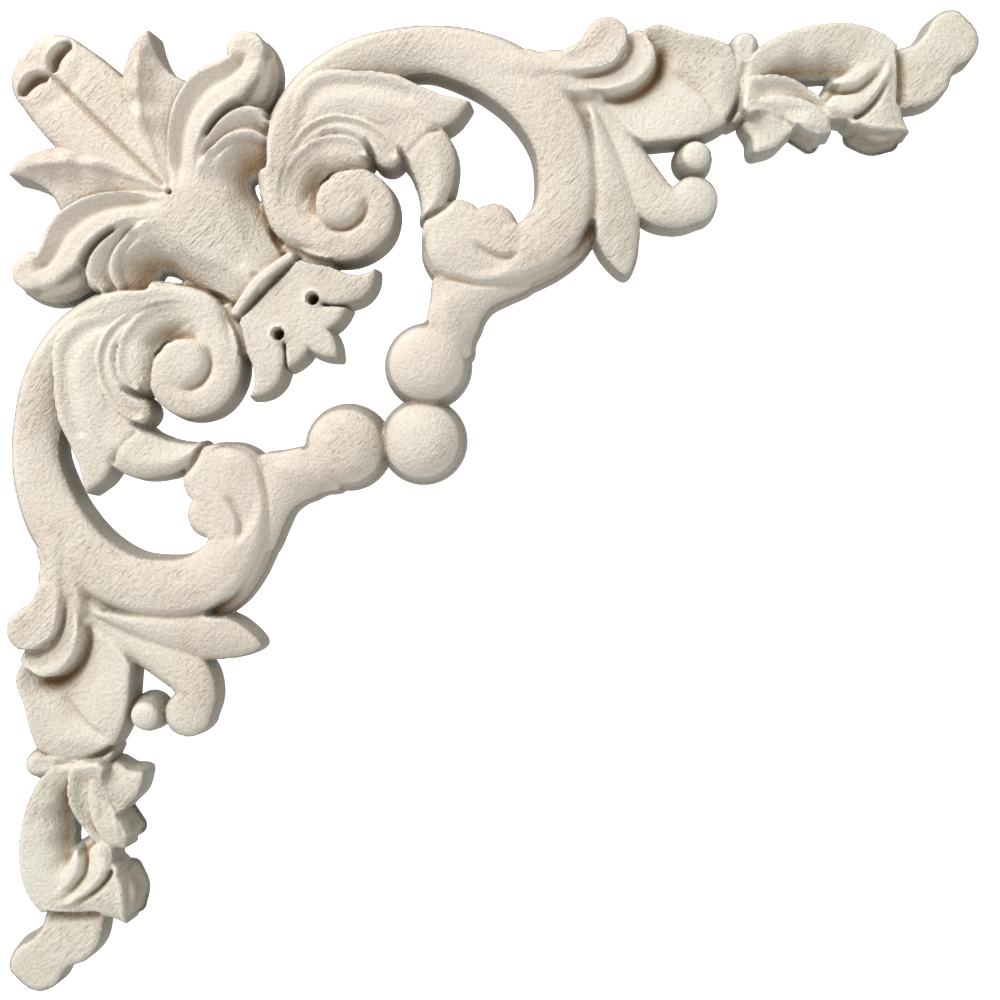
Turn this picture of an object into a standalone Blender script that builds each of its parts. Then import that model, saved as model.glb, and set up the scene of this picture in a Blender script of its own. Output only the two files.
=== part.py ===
"""Carved wooden corner onlay: acanthus scrollwork on two equal arms, one piece of wood.

The carving is drawn flat, in drawing units of nearly a millimetre. u runs along the top arm and v down the
side arm, both from the outer corner. The arms mirror each other about the line u = v, so only the half with
u > v is drawn. Heights are measured from the flat fixing face. The model stands as the onlay does on a wall:
X along the top arm, Z up, the fixing face on y = 0 and the carving towards -Y.
"""

import bmesh
import bpy
import numpy as np

SPAN = 0.200  # each arm from end to end, metres
DRAWN_SPAN = 197.2  # the same length on the drawing, from wall foot to wall foot
SCALE = SPAN / DRAWN_SPAN
ORIGIN = 46.0  # the origin lies behind the drawing point (46, 46), in the palmette's neck
DRAWN_END = 203.0  # the drawing's far edge

CELL = 0.5  # spacing of the measured points, drawing units
FLARE = 0.75  # how far the walls spread from the carved edge to the fixing face
DRAFT = 12.0  # rise of a wall for one unit inwards
ROUNDING = 1.3  # width of the softened edge
EDGE_DROP = 0.5  # how much lower the softened edge is
RIM = 0.6  # height of the square edge at the fixing face
STEPS = 6  # straight pieces to each span of a line
TRIANGLES = 9400  # most triangles of the whole piece

WOOD = (0.72, 0.60, 0.46, 1.0)  # pale sanded rubberwood
ROUGHNESS = 0.72

# Sections, as (place across, share of the crest height), from the middle or from the left side to the right.
ROUND = ((0, 1), (0.6, 0.95), (1, 0.72))
FLAT = ((0, 1), (0.75, 0.985), (1, 0.92))
LIP = ((0, 1), (0.85, 0.99), (1, 0.96))
SLOPE = ((-1, 1), (0, 1), (1, 0.25))


def eased(x):
    """From 0 to 1 with flat ends."""
    x = np.clip(x, 0, 1)
    return x * x * (3 - 2 * x)


def through(rows, closed=False):
    """A smooth line through the rows, with every column carried along. A row given twice makes a corner."""
    rows = np.array(rows, float)
    if closed:
        ring = np.vstack([rows[-1], rows, rows[:2]])
    else:
        ring = np.vstack([2 * rows[0] - rows[1], rows, 2 * rows[-1] - rows[-2]])
    gaps = np.hypot(*np.diff(ring[:, :2], axis=0).T)[:, None]
    lean = (ring[2:] - ring[:-2]) / np.maximum(gaps[1:] + gaps[:-1], 1e-9)
    t = (np.arange(STEPS) / STEPS)[:, None]
    spans = []
    for a, b, gap, start, end in zip(ring[1:-2], ring[2:-1], gaps[1:-1], lean[:-1], lean[1:]):
        leaving = (1 + 2 * t) * a + t * gap * start
        reaching = (3 - 2 * t) * b + (t - 1) * gap * end
        spans.append((1 - t) ** 2 * leaving + t ** 2 * reaching)
    spans.append(rows[:1] if closed else rows[-1:])
    return np.vstack(spans)


def read_section(x, section):
    """The section's height at x, eased between its points."""
    xs, ys = np.array(section, float).T
    x = np.clip(x, xs[0], xs[-1])
    i = np.clip(np.searchsorted(xs, x) - 1, 0, len(xs) - 2)
    slope = np.gradient(ys, xs)
    h = xs[i + 1] - xs[i]
    t = (x - xs[i]) / h
    start = (1 + 2 * t) * ys[i] + t * h * slope[i]
    end = (3 - 2 * t) * ys[i + 1] + (t - 1) * h * slope[i + 1]
    return (1 - t) ** 2 * start + t * t * end


def bent_plate(spots, u, v):
    """A thin plate bent through the spots (u, v, height)."""
    spots = np.array(spots, float)
    places, count = spots[:, :2], len(spots)
    gaps = ((places[:, None] - places[None]) ** 2).sum(-1)
    flat = np.hstack([np.ones((count, 1)), places])
    system = np.block([[bending(gaps) + 0.5 * np.eye(count), flat], [flat.T, np.zeros((3, 3))]])
    weights = np.linalg.solve(system, np.concatenate([spots[:, 2], np.zeros(3)]))
    height = weights[count] + weights[count + 1] * u + weights[count + 2] * v
    for (a, b), weight in zip(places, weights):
        height = height + weight * bending((u - a) ** 2 + (v - b) ** 2)
    return height


def bending(squares):
    return squares * np.log(squares + 1e-9)


class Relief:
    """Heights over drawing points (u, v), built up stroke by stroke as a carver would.

    height is the wood's thickness there, and inside is how far a point lies within the outline."""

    def __init__(self, u, v):
        self.u, self.v = u, v
        self.height = np.zeros_like(u)
        self.inside = np.full_like(u, -9.0)

    def near(self, line, reach):
        low, high = line[:, :2].min(0) - reach, line[:, :2].max(0) + reach
        within = (self.u > low[0]) & (self.u < high[0]) & (self.v > low[1]) & (self.v < high[1])
        return np.flatnonzero(within)

    def beside(self, line, at):
        """For each point: distance to the line, side (+1 right), the line's row there, run, whole length."""
        points = np.stack([self.u[at], self.v[at]], -1)
        nearest = np.full(len(points), 1e9)
        span = np.zeros(len(points), int)
        part = np.zeros(len(points))
        side = np.ones(len(points))
        for i, (a, b) in enumerate(zip(line[:-1, :2], line[1:, :2])):
            step = b - a
            t = np.clip((points - a) @ step / max(step @ step, 1e-9), 0, 1)
            off = points - a - t[:, None] * step
            gap = (off ** 2).sum(-1)
            closer = gap < nearest
            nearest[closer], span[closer], part[closer] = gap[closer], i, t[closer]
            side[closer] = np.where(step[0] * off[closer, 1] < step[1] * off[closer, 0], -1, 1)
        row = line[span] + part[:, None] * (line[span + 1] - line[span])
        lengths = np.hypot(*np.diff(line[:, :2], axis=0).T)
        run = np.concatenate([[0], np.cumsum(lengths)])[span] + part * lengths[span]
        return np.sqrt(nearest), side, row, run, lengths.sum()

    def lay(self, at, inside, height, over, seam):
        """Adds a form: over what is there, or merged with it where merging keeps the higher."""
        old, was = self.height[at], self.inside[at]
        if over:
            new_share, old_share = eased(inside / seam), eased(was / seam)
            share = new_share / (new_share + (1 - new_share) * old_share + 1e-9)
            mixed = old + share * (height - old)
        else:
            touch = np.maximum(seam - np.abs(old - height), 0) * eased(np.minimum(was, inside) / 1.5)
            mixed = np.maximum(old, height) + touch ** 2 / (4 * seam)
        both = (inside > 0) & (was > 0)
        self.height[at] = np.where(both, mixed, np.where(inside > was, height, old))
        self.inside[at] = np.maximum(was, inside)

    def limb(self, rows, section, over=False, seam=0.4, fade=0.0):
        """A long form. rows: u, v, half width, crest height and, if given, how far its right side drops."""
        line = through(rows)
        at = self.near(line, line[:, 2].max() + 2)
        away, side, row, run, _ = self.beside(line, at)
        across = side * away / np.maximum(row[:, 2], 0.05)
        height = row[:, 3] * read_section(np.abs(across) if section[0][0] == 0 else across, section)
        if line.shape[1] > 4:
            height = height - row[:, 4] * np.clip(across, -1, 1)
        if fade:
            old = self.height[at]
            height = np.where(self.inside[at] > 0, old + eased(run / fade) * (height - old), height)
        self.lay(at, row[:, 2] - away, height, over, seam)

    def patch(self, outline, spots, seam=0.3):
        """A field inside a closed line, its surface bent through the spots."""
        line = through(outline, closed=True)
        at = self.near(line, 2)
        away = self.beside(line, at)[0]
        u, v = self.u[at], self.v[at]
        within = np.zeros(len(at), bool)
        for a, b in zip(line[:-1], line[1:]):
            crossing = (a[1] > v) != (b[1] > v)
            within ^= crossing & (u < a[0] + (v - a[1]) / (b[1] - a[1] + 1e-12) * (b[0] - a[0]))
        self.lay(at, np.where(within, away, -away), bent_plate(spots, u, v), True, seam)

    def dome(self, u, v, radius, top, edge, power=2.0, seam=0.4):
        at = self.near(np.array([[u, v]]), radius + 2)
        away = np.hypot(self.u[at] - u, self.v[at] - v)
        share = np.sqrt(np.clip(1 - (away / radius) ** power, 0, 1))
        self.lay(at, radius - away, edge + (top - edge) * share, False, seam)

    def crease(self, rows, left, right, ends=3.0):
        """A gouge cut. rows: u, v, depth. left and right: how far it dies away on each side."""
        line = through(rows)
        at = self.near(line, 3.5 * max(left, right) + 0.5)
        away, side, row, run, total = self.beside(line, at)
        taper = eased(np.minimum(run, total - run) / ends)
        self.height[at] -= row[:, 2] * taper * np.exp(-((away / np.where(side > 0, right, left)) ** 1.5))

    def drill(self, u, v, radius, floor):
        at = self.near(np.array([[u, v]]), radius + 1)
        away = np.hypot(self.u[at] - u, self.v[at] - v)
        bored = floor + (self.height[at] - floor) * eased(away / (0.4 * radius) - 1.5)
        self.height[at] = np.minimum(self.height[at], bored)

    def pierce(self, rows):
        """A hole right through. rows: u, v, half width."""
        line = through(rows)
        at = self.near(line, line[:, 2].max() + 3)
        away, _, row, _, _ = self.beside(line, at)
        self.inside[at] = np.minimum(self.inside[at], away - row[:, 2])


def stem(r):
    """The stalk from the beads to the bulb, and the back of the scroll that joins it."""
    r.limb([(122.4, 45.2, 1.2, 5), (118.4, 49.2, 2.2, 6.4), (114.6, 52, 2.4, 6.8), (110.4, 54.2, 2.4, 7),
            (105.6, 56.2, 2.4, 7.4), (101, 58.2, 2.7, 7.8), (97.4, 61, 3.2, 8.2), (95, 65.4, 3.6, 8.2)],
           ROUND)
    r.limb([(97, 54, 3.4, 8), (94.9, 58.5, 3.9, 8.3), (93.7, 63, 4.1, 8.5), (93, 69, 4.2, 8.5)], ROUND,
           seam=1)


def hook(r):
    """The small volute under the calyx, with its ball."""
    r.limb([(118, 17, 3, 7), (122, 20.5, 2.9, 6.8), (125.6, 25, 3, 6.6), (128.8, 30.6, 3.4, 6.8),
            (131.6, 36.4, 4.2, 7.1), (135.2, 40.7, 4.1, 7.5), (139, 41.7, 3.9, 7.6),
            (142.3, 40.2, 4.5, 7.6)], ((-1, 0.93), (-0.5, 1), (0.5, 1), (1, 0.93)))
    r.dome(142.2, 32, 3.2, 8.6, 5)


def pod(r):
    """The long pod between the scroll and the hook."""
    r.limb([(121.2, 20, 0.9, 8.1), (122.6, 24, 1.3, 7.9), (124, 28.5, 2.1, 8), (125.2, 33.5, 3, 8.1),
            (126.2, 39, 3.9, 8.2), (126.7, 44.5, 4.6, 8), (126.8, 48.4, 4.5, 7.5),
            (127.5, 50.5, 3.9, 7.2), (128, 51.9, 3, 7)],
           ((-1, 0.92), (-0.6, 1), (-0.1, 1), (0.35, 0.96), (1, 0.84)), over=True, seam=0.5, fade=5)


def band(r):
    """The C-scroll: from the volute up, over, down its right side and into the bulb."""
    r.limb([(69, 45.4, 5.6, 8.5, 0.4), (63.6, 42.6, 6.2, 8.3, 1), (61.4, 37, 5.6, 8, 1.5),
            (61.6, 31, 5.6, 7.9, 1.6), (63.6, 24.6, 5.8, 7.9, 1.6), (68.2, 18, 5.8, 7.8, 1.6),
            (75.6, 12.7, 5.2, 7.8, 1.6), (83, 10.2, 4.6, 8.1, 1.1), (90, 9.6, 4.7, 8.4, 0.6),
            (97, 11, 5.4, 8.6, 0.3), (104.4, 14.2, 6, 8.8, 0), (111.4, 20.1, 6.1, 9, 0),
            (116, 28, 5.9, 9.1, 0), (117.4, 36, 6.1, 9.2, 0), (116.4, 42.5, 6, 9.3, 0),
            (112.6, 48, 5.8, 9.3, 0), (106.8, 51.2, 5.6, 9.3, 0), (101, 51.3, 6.4, 9.3, 0),
            (96.2, 49.2, 7.9, 9.2, 0)], ((-1, 0.7), (-0.75, 0.9), (-0.35, 1), (0.5, 1), (1, 0.93)),
           over=True, seam=1)
    r.dome(102.3, 45.4, 4.5, 8.9, 8.3)
    r.dome(95, 45.8, 5.8, 8.9, 8.3)
    r.limb([(97, 49.4, 7.4, 9.3), (95.5, 49.1, 7.2, 9.2)], ((0, 1), (0.5, 0.99), (1, 0.8)), over=True,
           seam=3, fade=2)
    r.limb([(103, 12.6, 4.4, 8.6), (111, 14.4, 3.8, 8.8), (118, 15, 4, 8.8)],
           ((-1, 0.85), (-0.5, 1), (1, 1)), seam=1.5)
    r.crease([(98, 47.8, 0.3), (100.5, 50, 0.8), (103.5, 51.3, 0.9), (106.5, 51.2, 0.7),
              (108.5, 50.4, 0.3)], 0.35, 1.2)


def calyx(r):
    """The cup at the end of the scroll, with the two lips that curl over it."""
    r.patch([(120, 17.5), (127, 9.5), (132, 7), (134.5, 5.9), (137, 6.2), (141, 7.7), (146, 8.8),
             (149.6, 10.4), (151.4, 14.5), (151.8, 18), (150.9, 21.5), (148.8, 24.8), (143.5, 27.5),
             (137, 28.6), (130, 28.3), (125, 22)],
            [(134, 7, 7.4), (140, 9, 7.8), (146, 11, 7.8), (136.5, 11.5, 5.2), (138.5, 14, 6),
             (134.6, 16, 5.6), (131, 19, 6), (127, 20.6, 6.6), (134, 20.6, 6.6), (139, 19, 6.9),
             (141, 14, 6.8), (143, 17.5, 7), (142.5, 22.5, 7.7), (138, 27, 8), (131, 26.5, 7.6),
             (146, 25, 7.5), (147.4, 16, 7.8), (147, 21, 7.7), (151.2, 13, 7.2), (151.2, 16.5, 7),
             (150.4, 20.5, 6.9), (120, 17, 8.6)], seam=1.2)
    r.crease([(137.4, 14.4, 0.4), (140.6, 16.4, 0.7), (143.8, 19, 0.9), (146, 22, 0.7),
              (147.2, 24.6, 0.4)], 2.2, 0.8)
    r.limb([(152.5, 9.8, 2.5, 7.4), (152.2, 12.4, 1.9, 7.2), (151.4, 15.4, 1.2, 7)], FLAT, seam=1)
    r.limb([(114, 14.5, 4, 8), (122.5, 14.2, 4.2, 8.2), (127.5, 12, 4.6, 8.2)], LIP)
    r.limb([(117, 16.8, 1, 8.2), (122.4, 17.7, 1.8, 8.4), (126.2, 17.2, 2.3, 8.5), (129.6, 15.2, 3, 8.5),
            (131.7, 12, 3.2, 8.5), (131.2, 9.4, 2.5, 8.2)], LIP, seam=1)
    r.limb([(113, 13.4, 2.6, 8), (119, 12.7, 2.9, 9.6), (123.2, 10.9, 4.2, 10.3), (125, 8.5, 4.3, 10.3)],
           LIP)
    r.crease([(129.6, 7, 0.4), (129.7, 10.4, 0.9), (128.5, 12.9, 1), (125.8, 14.8, 0.9),
              (121.8, 15.9, 0.6), (118, 16, 0.2)], 0.7, 0.25, ends=1.5)
    r.crease([(135.8, 9.6, 0.6), (136.3, 12.6, 2.4), (135.2, 15.9, 2), (132.2, 18.8, 1.7),
              (128, 20.3, 1.6), (123.6, 20.5, 0.8)], 0.8, 0.35, ends=1.5)


def leaf(r):
    """Acanthus lobes that lie on the scroll."""
    r.limb([(80, 21, 4, 8.6), (84, 24, 4.5, 9.1), (87.6, 27.2, 4.8, 9.2), (90.1, 31.5, 4.7, 9.2),
            (90.8, 36, 3.7, 9), (90.3, 39.6, 2.7, 8.6), (89.2, 42.4, 1.4, 8.3)],
           ((-1, 0.9), (-0.3, 1), (0.3, 0.96), (1, 0.9)))
    r.limb([(64.4, 29, 3.2, 8), (65.6, 24, 4, 8.5), (69, 19.9, 5, 9.1), (74.4, 19, 4.5, 9.4),
            (81, 20, 4.9, 9.5), (87, 21.5, 4, 9.3), (91.5, 22.2, 3, 9), (94, 22.1, 1.8, 8.7)],
           ((-1, 0.99), (-0.75, 1), (-0.4, 0.95), (0.2, 1), (1, 0.93)))
    r.patch([(86, 17.3), (90, 18.7), (93, 19.6), (95.6, 20.1), (97.7, 20.6), (97.7, 20.6), (96.6, 22.3),
             (95.2, 24), (93, 25.4), (89, 25.8), (86, 23)],
            [(87, 20, 9.2), (90, 22.5, 9), (93, 20.6, 9), (97, 21.2, 8.7), (94, 24.4, 8.6),
             (88, 24.5, 9.2)], seam=1.5)
    r.crease([(92.6, 26.4, 0.4), (91, 26.1, 0.8), (89, 27.4, 0.3), (86.8, 29.4, 0.25), (85, 31.2, 0.5)],
             0.7, 0.35, ends=1.2)
    r.limb([(62.8, 33.4, 2.2, 7.6), (63.8, 29.4, 1.9, 8.2), (66.6, 26.2, 1.8, 8.7), (71, 24.7, 1.8, 9),
            (76, 25.8, 2.1, 9), (79.8, 28.5, 2.6, 8.7), (81.6, 30.8, 2.6, 8.4)],
           ((-1, 0.96), (-0.7, 1), (-0.25, 0.93), (0.4, 0.95), (1, 0.92)), over=True, fade=9)
    r.limb([(62.8, 37, 2.4, 7.2), (64.6, 32.8, 3, 7.6), (68.8, 30.1, 3.4, 7.6), (73, 30.1, 3.5, 7.6),
            (75.2, 30.8, 2.8, 7.5)], ((-1, 1.04), (-0.8, 1.07), (-0.45, 1), (0.3, 0.97), (1, 0.95)),
           over=True, fade=9)


def eye(r):
    """The volute's boss, with the cut that winds into it."""
    r.limb([(64, 44.4, 4.2, 6.6), (67, 46.2, 4.6, 8), (70, 47.1, 4.6, 8.7), (74.2, 46.9, 4.6, 9),
            (77.6, 44.5, 4.6, 9.1), (78.4, 40.8, 4.3, 9.2), (76.2, 38, 4, 9.3), (73, 38.4, 4, 9.4)],
           ((-1, 0.62), (-0.6, 0.86), (0, 1), (0.6, 1), (1, 0.96)), seam=1.5)
    r.dome(72.4, 40.6, 5.4, 9.9, 8.4, seam=0.6)
    r.crease([(76.8, 39.6, 0.2), (77, 41.8, 0.9), (75.8, 44, 1.4), (73.4, 45.5, 1.3), (70.6, 45.7, 0.8),
              (68.2, 44.4, 0.3)], 0.5, 1, ends=2)


def palmette(r):
    """The corner's palmette: neck, broad middle lobe, pointed lobe, curled lobe and two crescents."""
    r.limb([(55.6, 40, 1, 3.6), (57.6, 45.5, 1.7, 3.8), (60, 50.2, 1.6, 4.6)], FLAT)
    r.patch([(42, 34), (46, 28), (50, 24), (57.3, 22.8), (57.6, 28), (57.3, 33.4), (55.2, 33.6),
             (52.9, 35), (53.2, 37.5), (54.8, 40), (57, 42.5), (58.6, 47), (60.4, 50.5), (58, 56),
             (48, 52), (40, 46)],
            [(45, 36, 9.6), (48.5, 33, 8), (51, 35, 5), (53, 37, 3.2), (53.5, 32, 3.4), (52, 30, 5.2),
             (55.5, 29.5, 4.8), (50, 30, 7), (52, 40, 6.6), (50, 38, 7.6), (55, 42, 5.4), (47, 41, 9.6),
             (51, 44, 9), (55, 46, 7.2), (54, 50, 8.6), (57.5, 49, 6.8), (50, 49, 9.4), (57, 53, 8.2),
             (44, 45, 10), (55, 25, 6.4)], seam=1)
    r.limb([(52, 52, 4, 8.6), (48, 48, 7, 9.4), (44, 44, 8, 10), (40, 40, 8, 10.2), (35, 35, 8, 9.6),
            (30, 30, 8.4, 9.4), (25, 25, 9.4, 9.3), (20, 20, 9.4, 9), (17, 17, 9, 8.5)], FLAT, over=True,
           seam=4)
    r.limb([(15.5, 13, 6.6, 8.4), (13, 15.5, 6.6, 8.4)], FLAT, over=True, seam=3)
    r.patch([(34.2, 6), (34.2, 6), (34.9, 8.8), (36, 11.6), (37.8, 14), (40.2, 15.4), (42, 16),
             (41, 18.6), (40, 22.5), (39.4, 27.5), (39.3, 32), (39.2, 36), (38.6, 38.4), (36.8, 36),
             (33.8, 30.5), (31.4, 24.5), (29.8, 19.5), (28.9, 15.5), (29.3, 13.4), (30.2, 10.8),
             (31.8, 8.2)],
            [(34.2, 7, 9.2), (30.4, 11.5, 9.2), (29.6, 15, 8.9), (31, 20, 9), (33.5, 27, 9.2),
             (33.2, 9.9, 9.8), (32.5, 13.9, 10), (32.1, 18, 9.9), (32.7, 23, 9.8), (34.7, 30, 9.6),
             (37, 35, 9.5), (34.8, 11.5, 9), (35, 15, 8.5), (35, 20, 8.2), (36, 26, 8.3), (37.6, 31, 8.9),
             (38, 15, 8.2), (41, 16.8, 8), (39.4, 21, 7.8), (38.4, 27, 8.1), (38.6, 33, 9)], seam=1)
    r.crease([(34, 8.4, 0.1), (33.6, 11, 0.3), (33.2, 14.5, 0.4), (33, 18.5, 0.4), (33.6, 23, 0.4),
              (35.5, 29.4, 0.3), (37.4, 34, 0.1)], 3, 0.4)
    r.limb([(41.2, 38, 2.2, 9.6), (41.1, 33, 3.2, 9.8), (41.8, 27.3, 4.2, 9.8), (43.7, 22.4, 5, 9.8),
            (46.8, 18.6, 5.2, 9.7), (50.2, 16.4, 4.5, 9.7), (52.8, 14, 3.8, 9.6), (53.5, 12.6, 3.6, 9.5)],
           ((-1, 1), (-0.85, 1), (-0.6, 0.94), (-0.22, 0.88), (0.02, 0.97), (0.35, 1.01), (0.8, 1),
            (1, 0.95)), over=True, seam=0.5, fade=7)
    r.limb([(53, 13.2, 3, 9.4), (53.4, 11.6, 3.7, 9.6), (53.6, 10.3, 4, 9.6)], FLAT, over=True, seam=3,
           fade=2.5)
    r.limb([(53.6, 8.8, 2.4, 8.2), (55.2, 9.8, 2.7, 9.2), (56.5, 12.6, 2.6, 9.2), (56.7, 15.6, 2.2, 8.6),
            (55.8, 18.4, 1.9, 7.8), (54.4, 20.4, 1.5, 7.2)],
           ((-1, 0.6), (-0.4, 0.82), (0.5, 0.98), (1, 1)), seam=0.6)
    r.limb([(43.8, 33.5, 1, 9.6), (44.6, 30.5, 1.1, 9.5), (46.3, 27.6, 1.5, 9.3), (48.7, 25, 1.9, 9.1),
            (51.6, 23.2, 2.2, 8.8), (54.6, 22.8, 2.1, 8.4), (56.6, 24.2, 1.4, 7.8)],
           ((-1, 0.95), (-0.5, 1), (0.2, 0.93), (1, 0.75)), over=True, seam=0.5, fade=5)
    r.limb([(46, 33.5, 0.8, 9.4), (46.9, 30.9, 1, 9), (48.7, 28.3, 1.3, 8.4), (51.6, 26.7, 1.4, 7.8),
            (54.3, 26.5, 1.3, 7.4), (56.4, 27.3, 1.2, 7)], ((-1, 0.96), (-0.5, 1), (0.2, 0.95), (1, 0.8)),
           over=True, seam=0.5, fade=5)
    r.crease([(44.8, 28, 0.6), (46, 26, 1.6), (48, 23.4, 2), (50.6, 21.3, 2.2), (53.4, 20.3, 2)], 0.35,
             0.35, ends=2)
    r.crease([(14, 14, 1), (26, 26, 1), (37.4, 37.4, 1)], 0.45, 0.45, ends=1)
    r.crease([(18.9, 7.8, 1), (16.2, 9.3, 3), (14.6, 11.4, 3.2), (14.6, 14.6, 1.2)], 1.6, 0.3, ends=1.2)
    r.drill(38.3, 38.3, 0.7, 8)


def crown(r):
    """The collar and the small crown that points at the middle bead."""
    r.limb([(60.8, 48.8, 1.2, 6), (65.5, 50.4, 2, 6.6), (69.3, 51.4, 1.2, 6.6)], FLAT)
    r.patch([(54, 54), (58, 54), (62.6, 51), (66.5, 52.2), (70, 53.3), (73, 54.5), (75.6, 54.8),
             (77.4, 54.3), (78.7, 53.6), (78.7, 53.6), (78.6, 55.4), (77.8, 57.5), (76, 59.3),
             (73.5, 60.2), (70.5, 60.5), (68.2, 60.2), (68.2, 60.9), (70.5, 61), (73, 61.3), (73, 61.3),
             (72.2, 62.8), (70.8, 64.4), (69.2, 65.5), (69.2, 65.5), (70.2, 66.8), (70.9, 68.8),
             (71.1, 71.1), (71.1, 71.1), (66, 72), (58, 66), (50, 58)],
            [(58, 58, 8.6), (63, 55, 8.9), (68, 55.5, 9.3), (68, 58.5, 9), (73, 57.4, 9.4),
             (76, 56.5, 9.1), (78.4, 54.2, 8.8), (64, 62, 9), (70.5, 62.4, 8.9), (66, 66, 9.2),
             (70.5, 70.5, 8.9)], seam=0.8)
    r.crease([(63.2, 51.2, 2.6), (60.2, 54.4, 2.6), (57.2, 57.2, 2.6)], 0.4, 0.8, ends=0.1)
    r.limb([(62, 51.2, 1.5, 9.2), (58.8, 53.6, 1.6, 9.8), (55.9, 55.9, 1.7, 9.9)], ROUND, seam=0.2)
    r.drill(66.4, 59.5, 1.2, 3)
    r.drill(63.5, 51.5, 0.5, 5)


def tail(r):
    """The arm's end: three leaves under a hollow arch, the fan and the tongue."""
    r.patch([(179, 12), (183, 10.8), (186, 9.9), (188.4, 7.6), (190, 4.9), (192, 3.5), (194.6, 3.2),
             (196.6, 5), (198.4, 7.3), (198.6, 10), (197.2, 12.5), (194.6, 14.1), (193.3, 16),
             (192.3, 18.6), (189.6, 20.9), (186, 21.8), (180, 21.8)],
            [(181, 12, 5.6), (184, 14, 6.2), (188, 12, 6.5), (192, 6, 6), (196, 9, 6), (192, 14, 6.4),
             (188, 19, 6.4), (183, 20, 6)], seam=1)
    r.limb([(175.4, 26.8, 1.4, 5), (179, 28, 1.6, 5), (182.6, 27.8, 1.1, 5)], SLOPE)
    r.limb([(163.4, 26.2, 1, 5), (166.4, 27.8, 1.3, 5)], SLOPE)
    r.patch([(151.6, 17), (152.6, 13), (155.4, 10.4), (160, 8), (166, 6.4), (172, 6), (178, 7.4),
             (182.3, 10.6), (183, 16), (183, 21), (183.5, 24.4), (184.7, 27.2), (184.7, 27.2),
             (181.6, 27.8), (178, 27.6), (175.6, 26.9), (173.6, 25.7), (172.2, 24.4), (170, 24.4),
             (166, 24.2), (160, 24.5), (152, 23.5)],
            [(153, 14, 7.4), (157.5, 11.5, 7.4), (164, 9, 7.8), (170, 8.6, 7.9), (177, 10, 8),
             (181, 13, 7.8), (161, 11, 7.5), (167, 10.8, 7.6), (172, 11.4, 7.6), (160, 13.3, 6.4),
             (166, 13, 6.4), (171, 13.2, 6.7), (157, 14.6, 6.4), (159, 15.8, 3.6), (163, 15.4, 3),
             (168, 15.4, 3.2), (172, 15, 5.4), (176, 13, 7.7), (182.8, 19, 6.9), (179.5, 19, 7.9),
             (179.5, 24, 7.9), (183.4, 25.6, 7), (175.6, 26, 7.2), (180, 27.4, 7.5), (174.5, 17.4, 7.4),
             (156, 20, 6.8), (166, 22, 6.2)], seam=1)
    r.limb([(180.8, 12.5, 1, 8), (179.6, 16.2, 1.3, 8.3), (176.6, 20.3, 2, 8.3), (173.4, 21.8, 2.6, 8.1),
            (170.8, 21.8, 2.5, 7.5)], ((-1, 0.93), (-0.5, 1), (0.3, 0.96), (1, 0.84)), over=True,
           seam=0.5, fade=5)
    r.limb([(179.6, 12.2, 1.2, 8), (178, 14, 1.7, 8.2), (175.4, 16.4, 2.3, 8.2), (172.4, 17.3, 2.1, 7.8),
            (170.2, 17.3, 1.5, 7)], ((-1, 0.9), (-0.4, 1), (0.4, 0.96), (1, 0.88)), over=True, seam=1,
           fade=6)
    r.crease([(171, 19.4, 0.5), (174.4, 19.1, 1.1), (176.4, 17.8, 1.4), (178.9, 15.2, 0.5)], 0.9, 0.35,
             ends=1.5)
    r.crease([(173.4, 24.8, 1.4), (176, 23.3, 1.5), (178.4, 20.8, 1.2), (180.5, 16.8, 0.5)], 0.5, 0.4,
             ends=1.5)
    r.crease([(182.2, 11, 0.5), (183.1, 14.5, 0.9), (183.3, 18, 0.9), (183, 22, 0.8)], 1.0, 0.6, ends=1)
    r.limb([(151.2, 22, 1.2, 7.2), (153.5, 19.2, 2.6, 7.5), (158, 18.3, 2.6, 7.4),
            (162.4, 18.9, 2.2, 7.1), (165.6, 20.9, 1.9, 6.8), (168, 22.6, 1.5, 6.6)],
           ((-1, 1), (-0.6, 0.98), (0, 0.88), (1, 0.94)))
    r.limb([(149.6, 24.5, 0.5, 7.2), (153.4, 22.1, 1.2, 7.6), (158, 21.6, 1.7, 7.7),
            (162.5, 22.9, 2.6, 7.6), (165.6, 24.6, 2.8, 7.4), (167, 25.4, 2.4, 7.2)],
           ((-1, 0.95), (-0.3, 1), (1, 0.93)))
    r.patch([(152.4, 25), (153.8, 23.5), (156.6, 23), (159.2, 24), (161.9, 26), (160.4, 28),
             (158.4, 29.9), (156, 30.7), (154.3, 30.8), (153.9, 28)],
            [(156, 25, 7.2), (160, 26.5, 6.8), (155, 30, 7.1), (153.4, 26.4, 6.4), (157.5, 28, 7.1)],
            seam=0.4)
    r.crease([(152.6, 13, 0.4), (152.3, 17, 0.8), (151.6, 20.5, 1.2), (150.2, 23, 1.6), (148.9, 25, 1.8)],
             0.4, 0.35, ends=1)
    r.pierce([(161.8, 16.2, 0.4), (165, 16.9, 1.5), (166.9, 17.5, 2.1), (168.2, 16.9, 1.6),
              (169.6, 16.1, 0.7)])


def beads(r):
    for u, v in ((88.8, 72.4), (87.7, 87.7)):
        r.dome(u, v, 8.2, 10.2, 4.4, power=2.3, seam=0.8)


def paint(r):
    stem(r)
    band(r)
    hook(r)
    pod(r)
    calyx(r)
    leaf(r)
    eye(r)
    palmette(r)
    crown(r)
    tail(r)
    beads(r)
    return r


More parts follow.
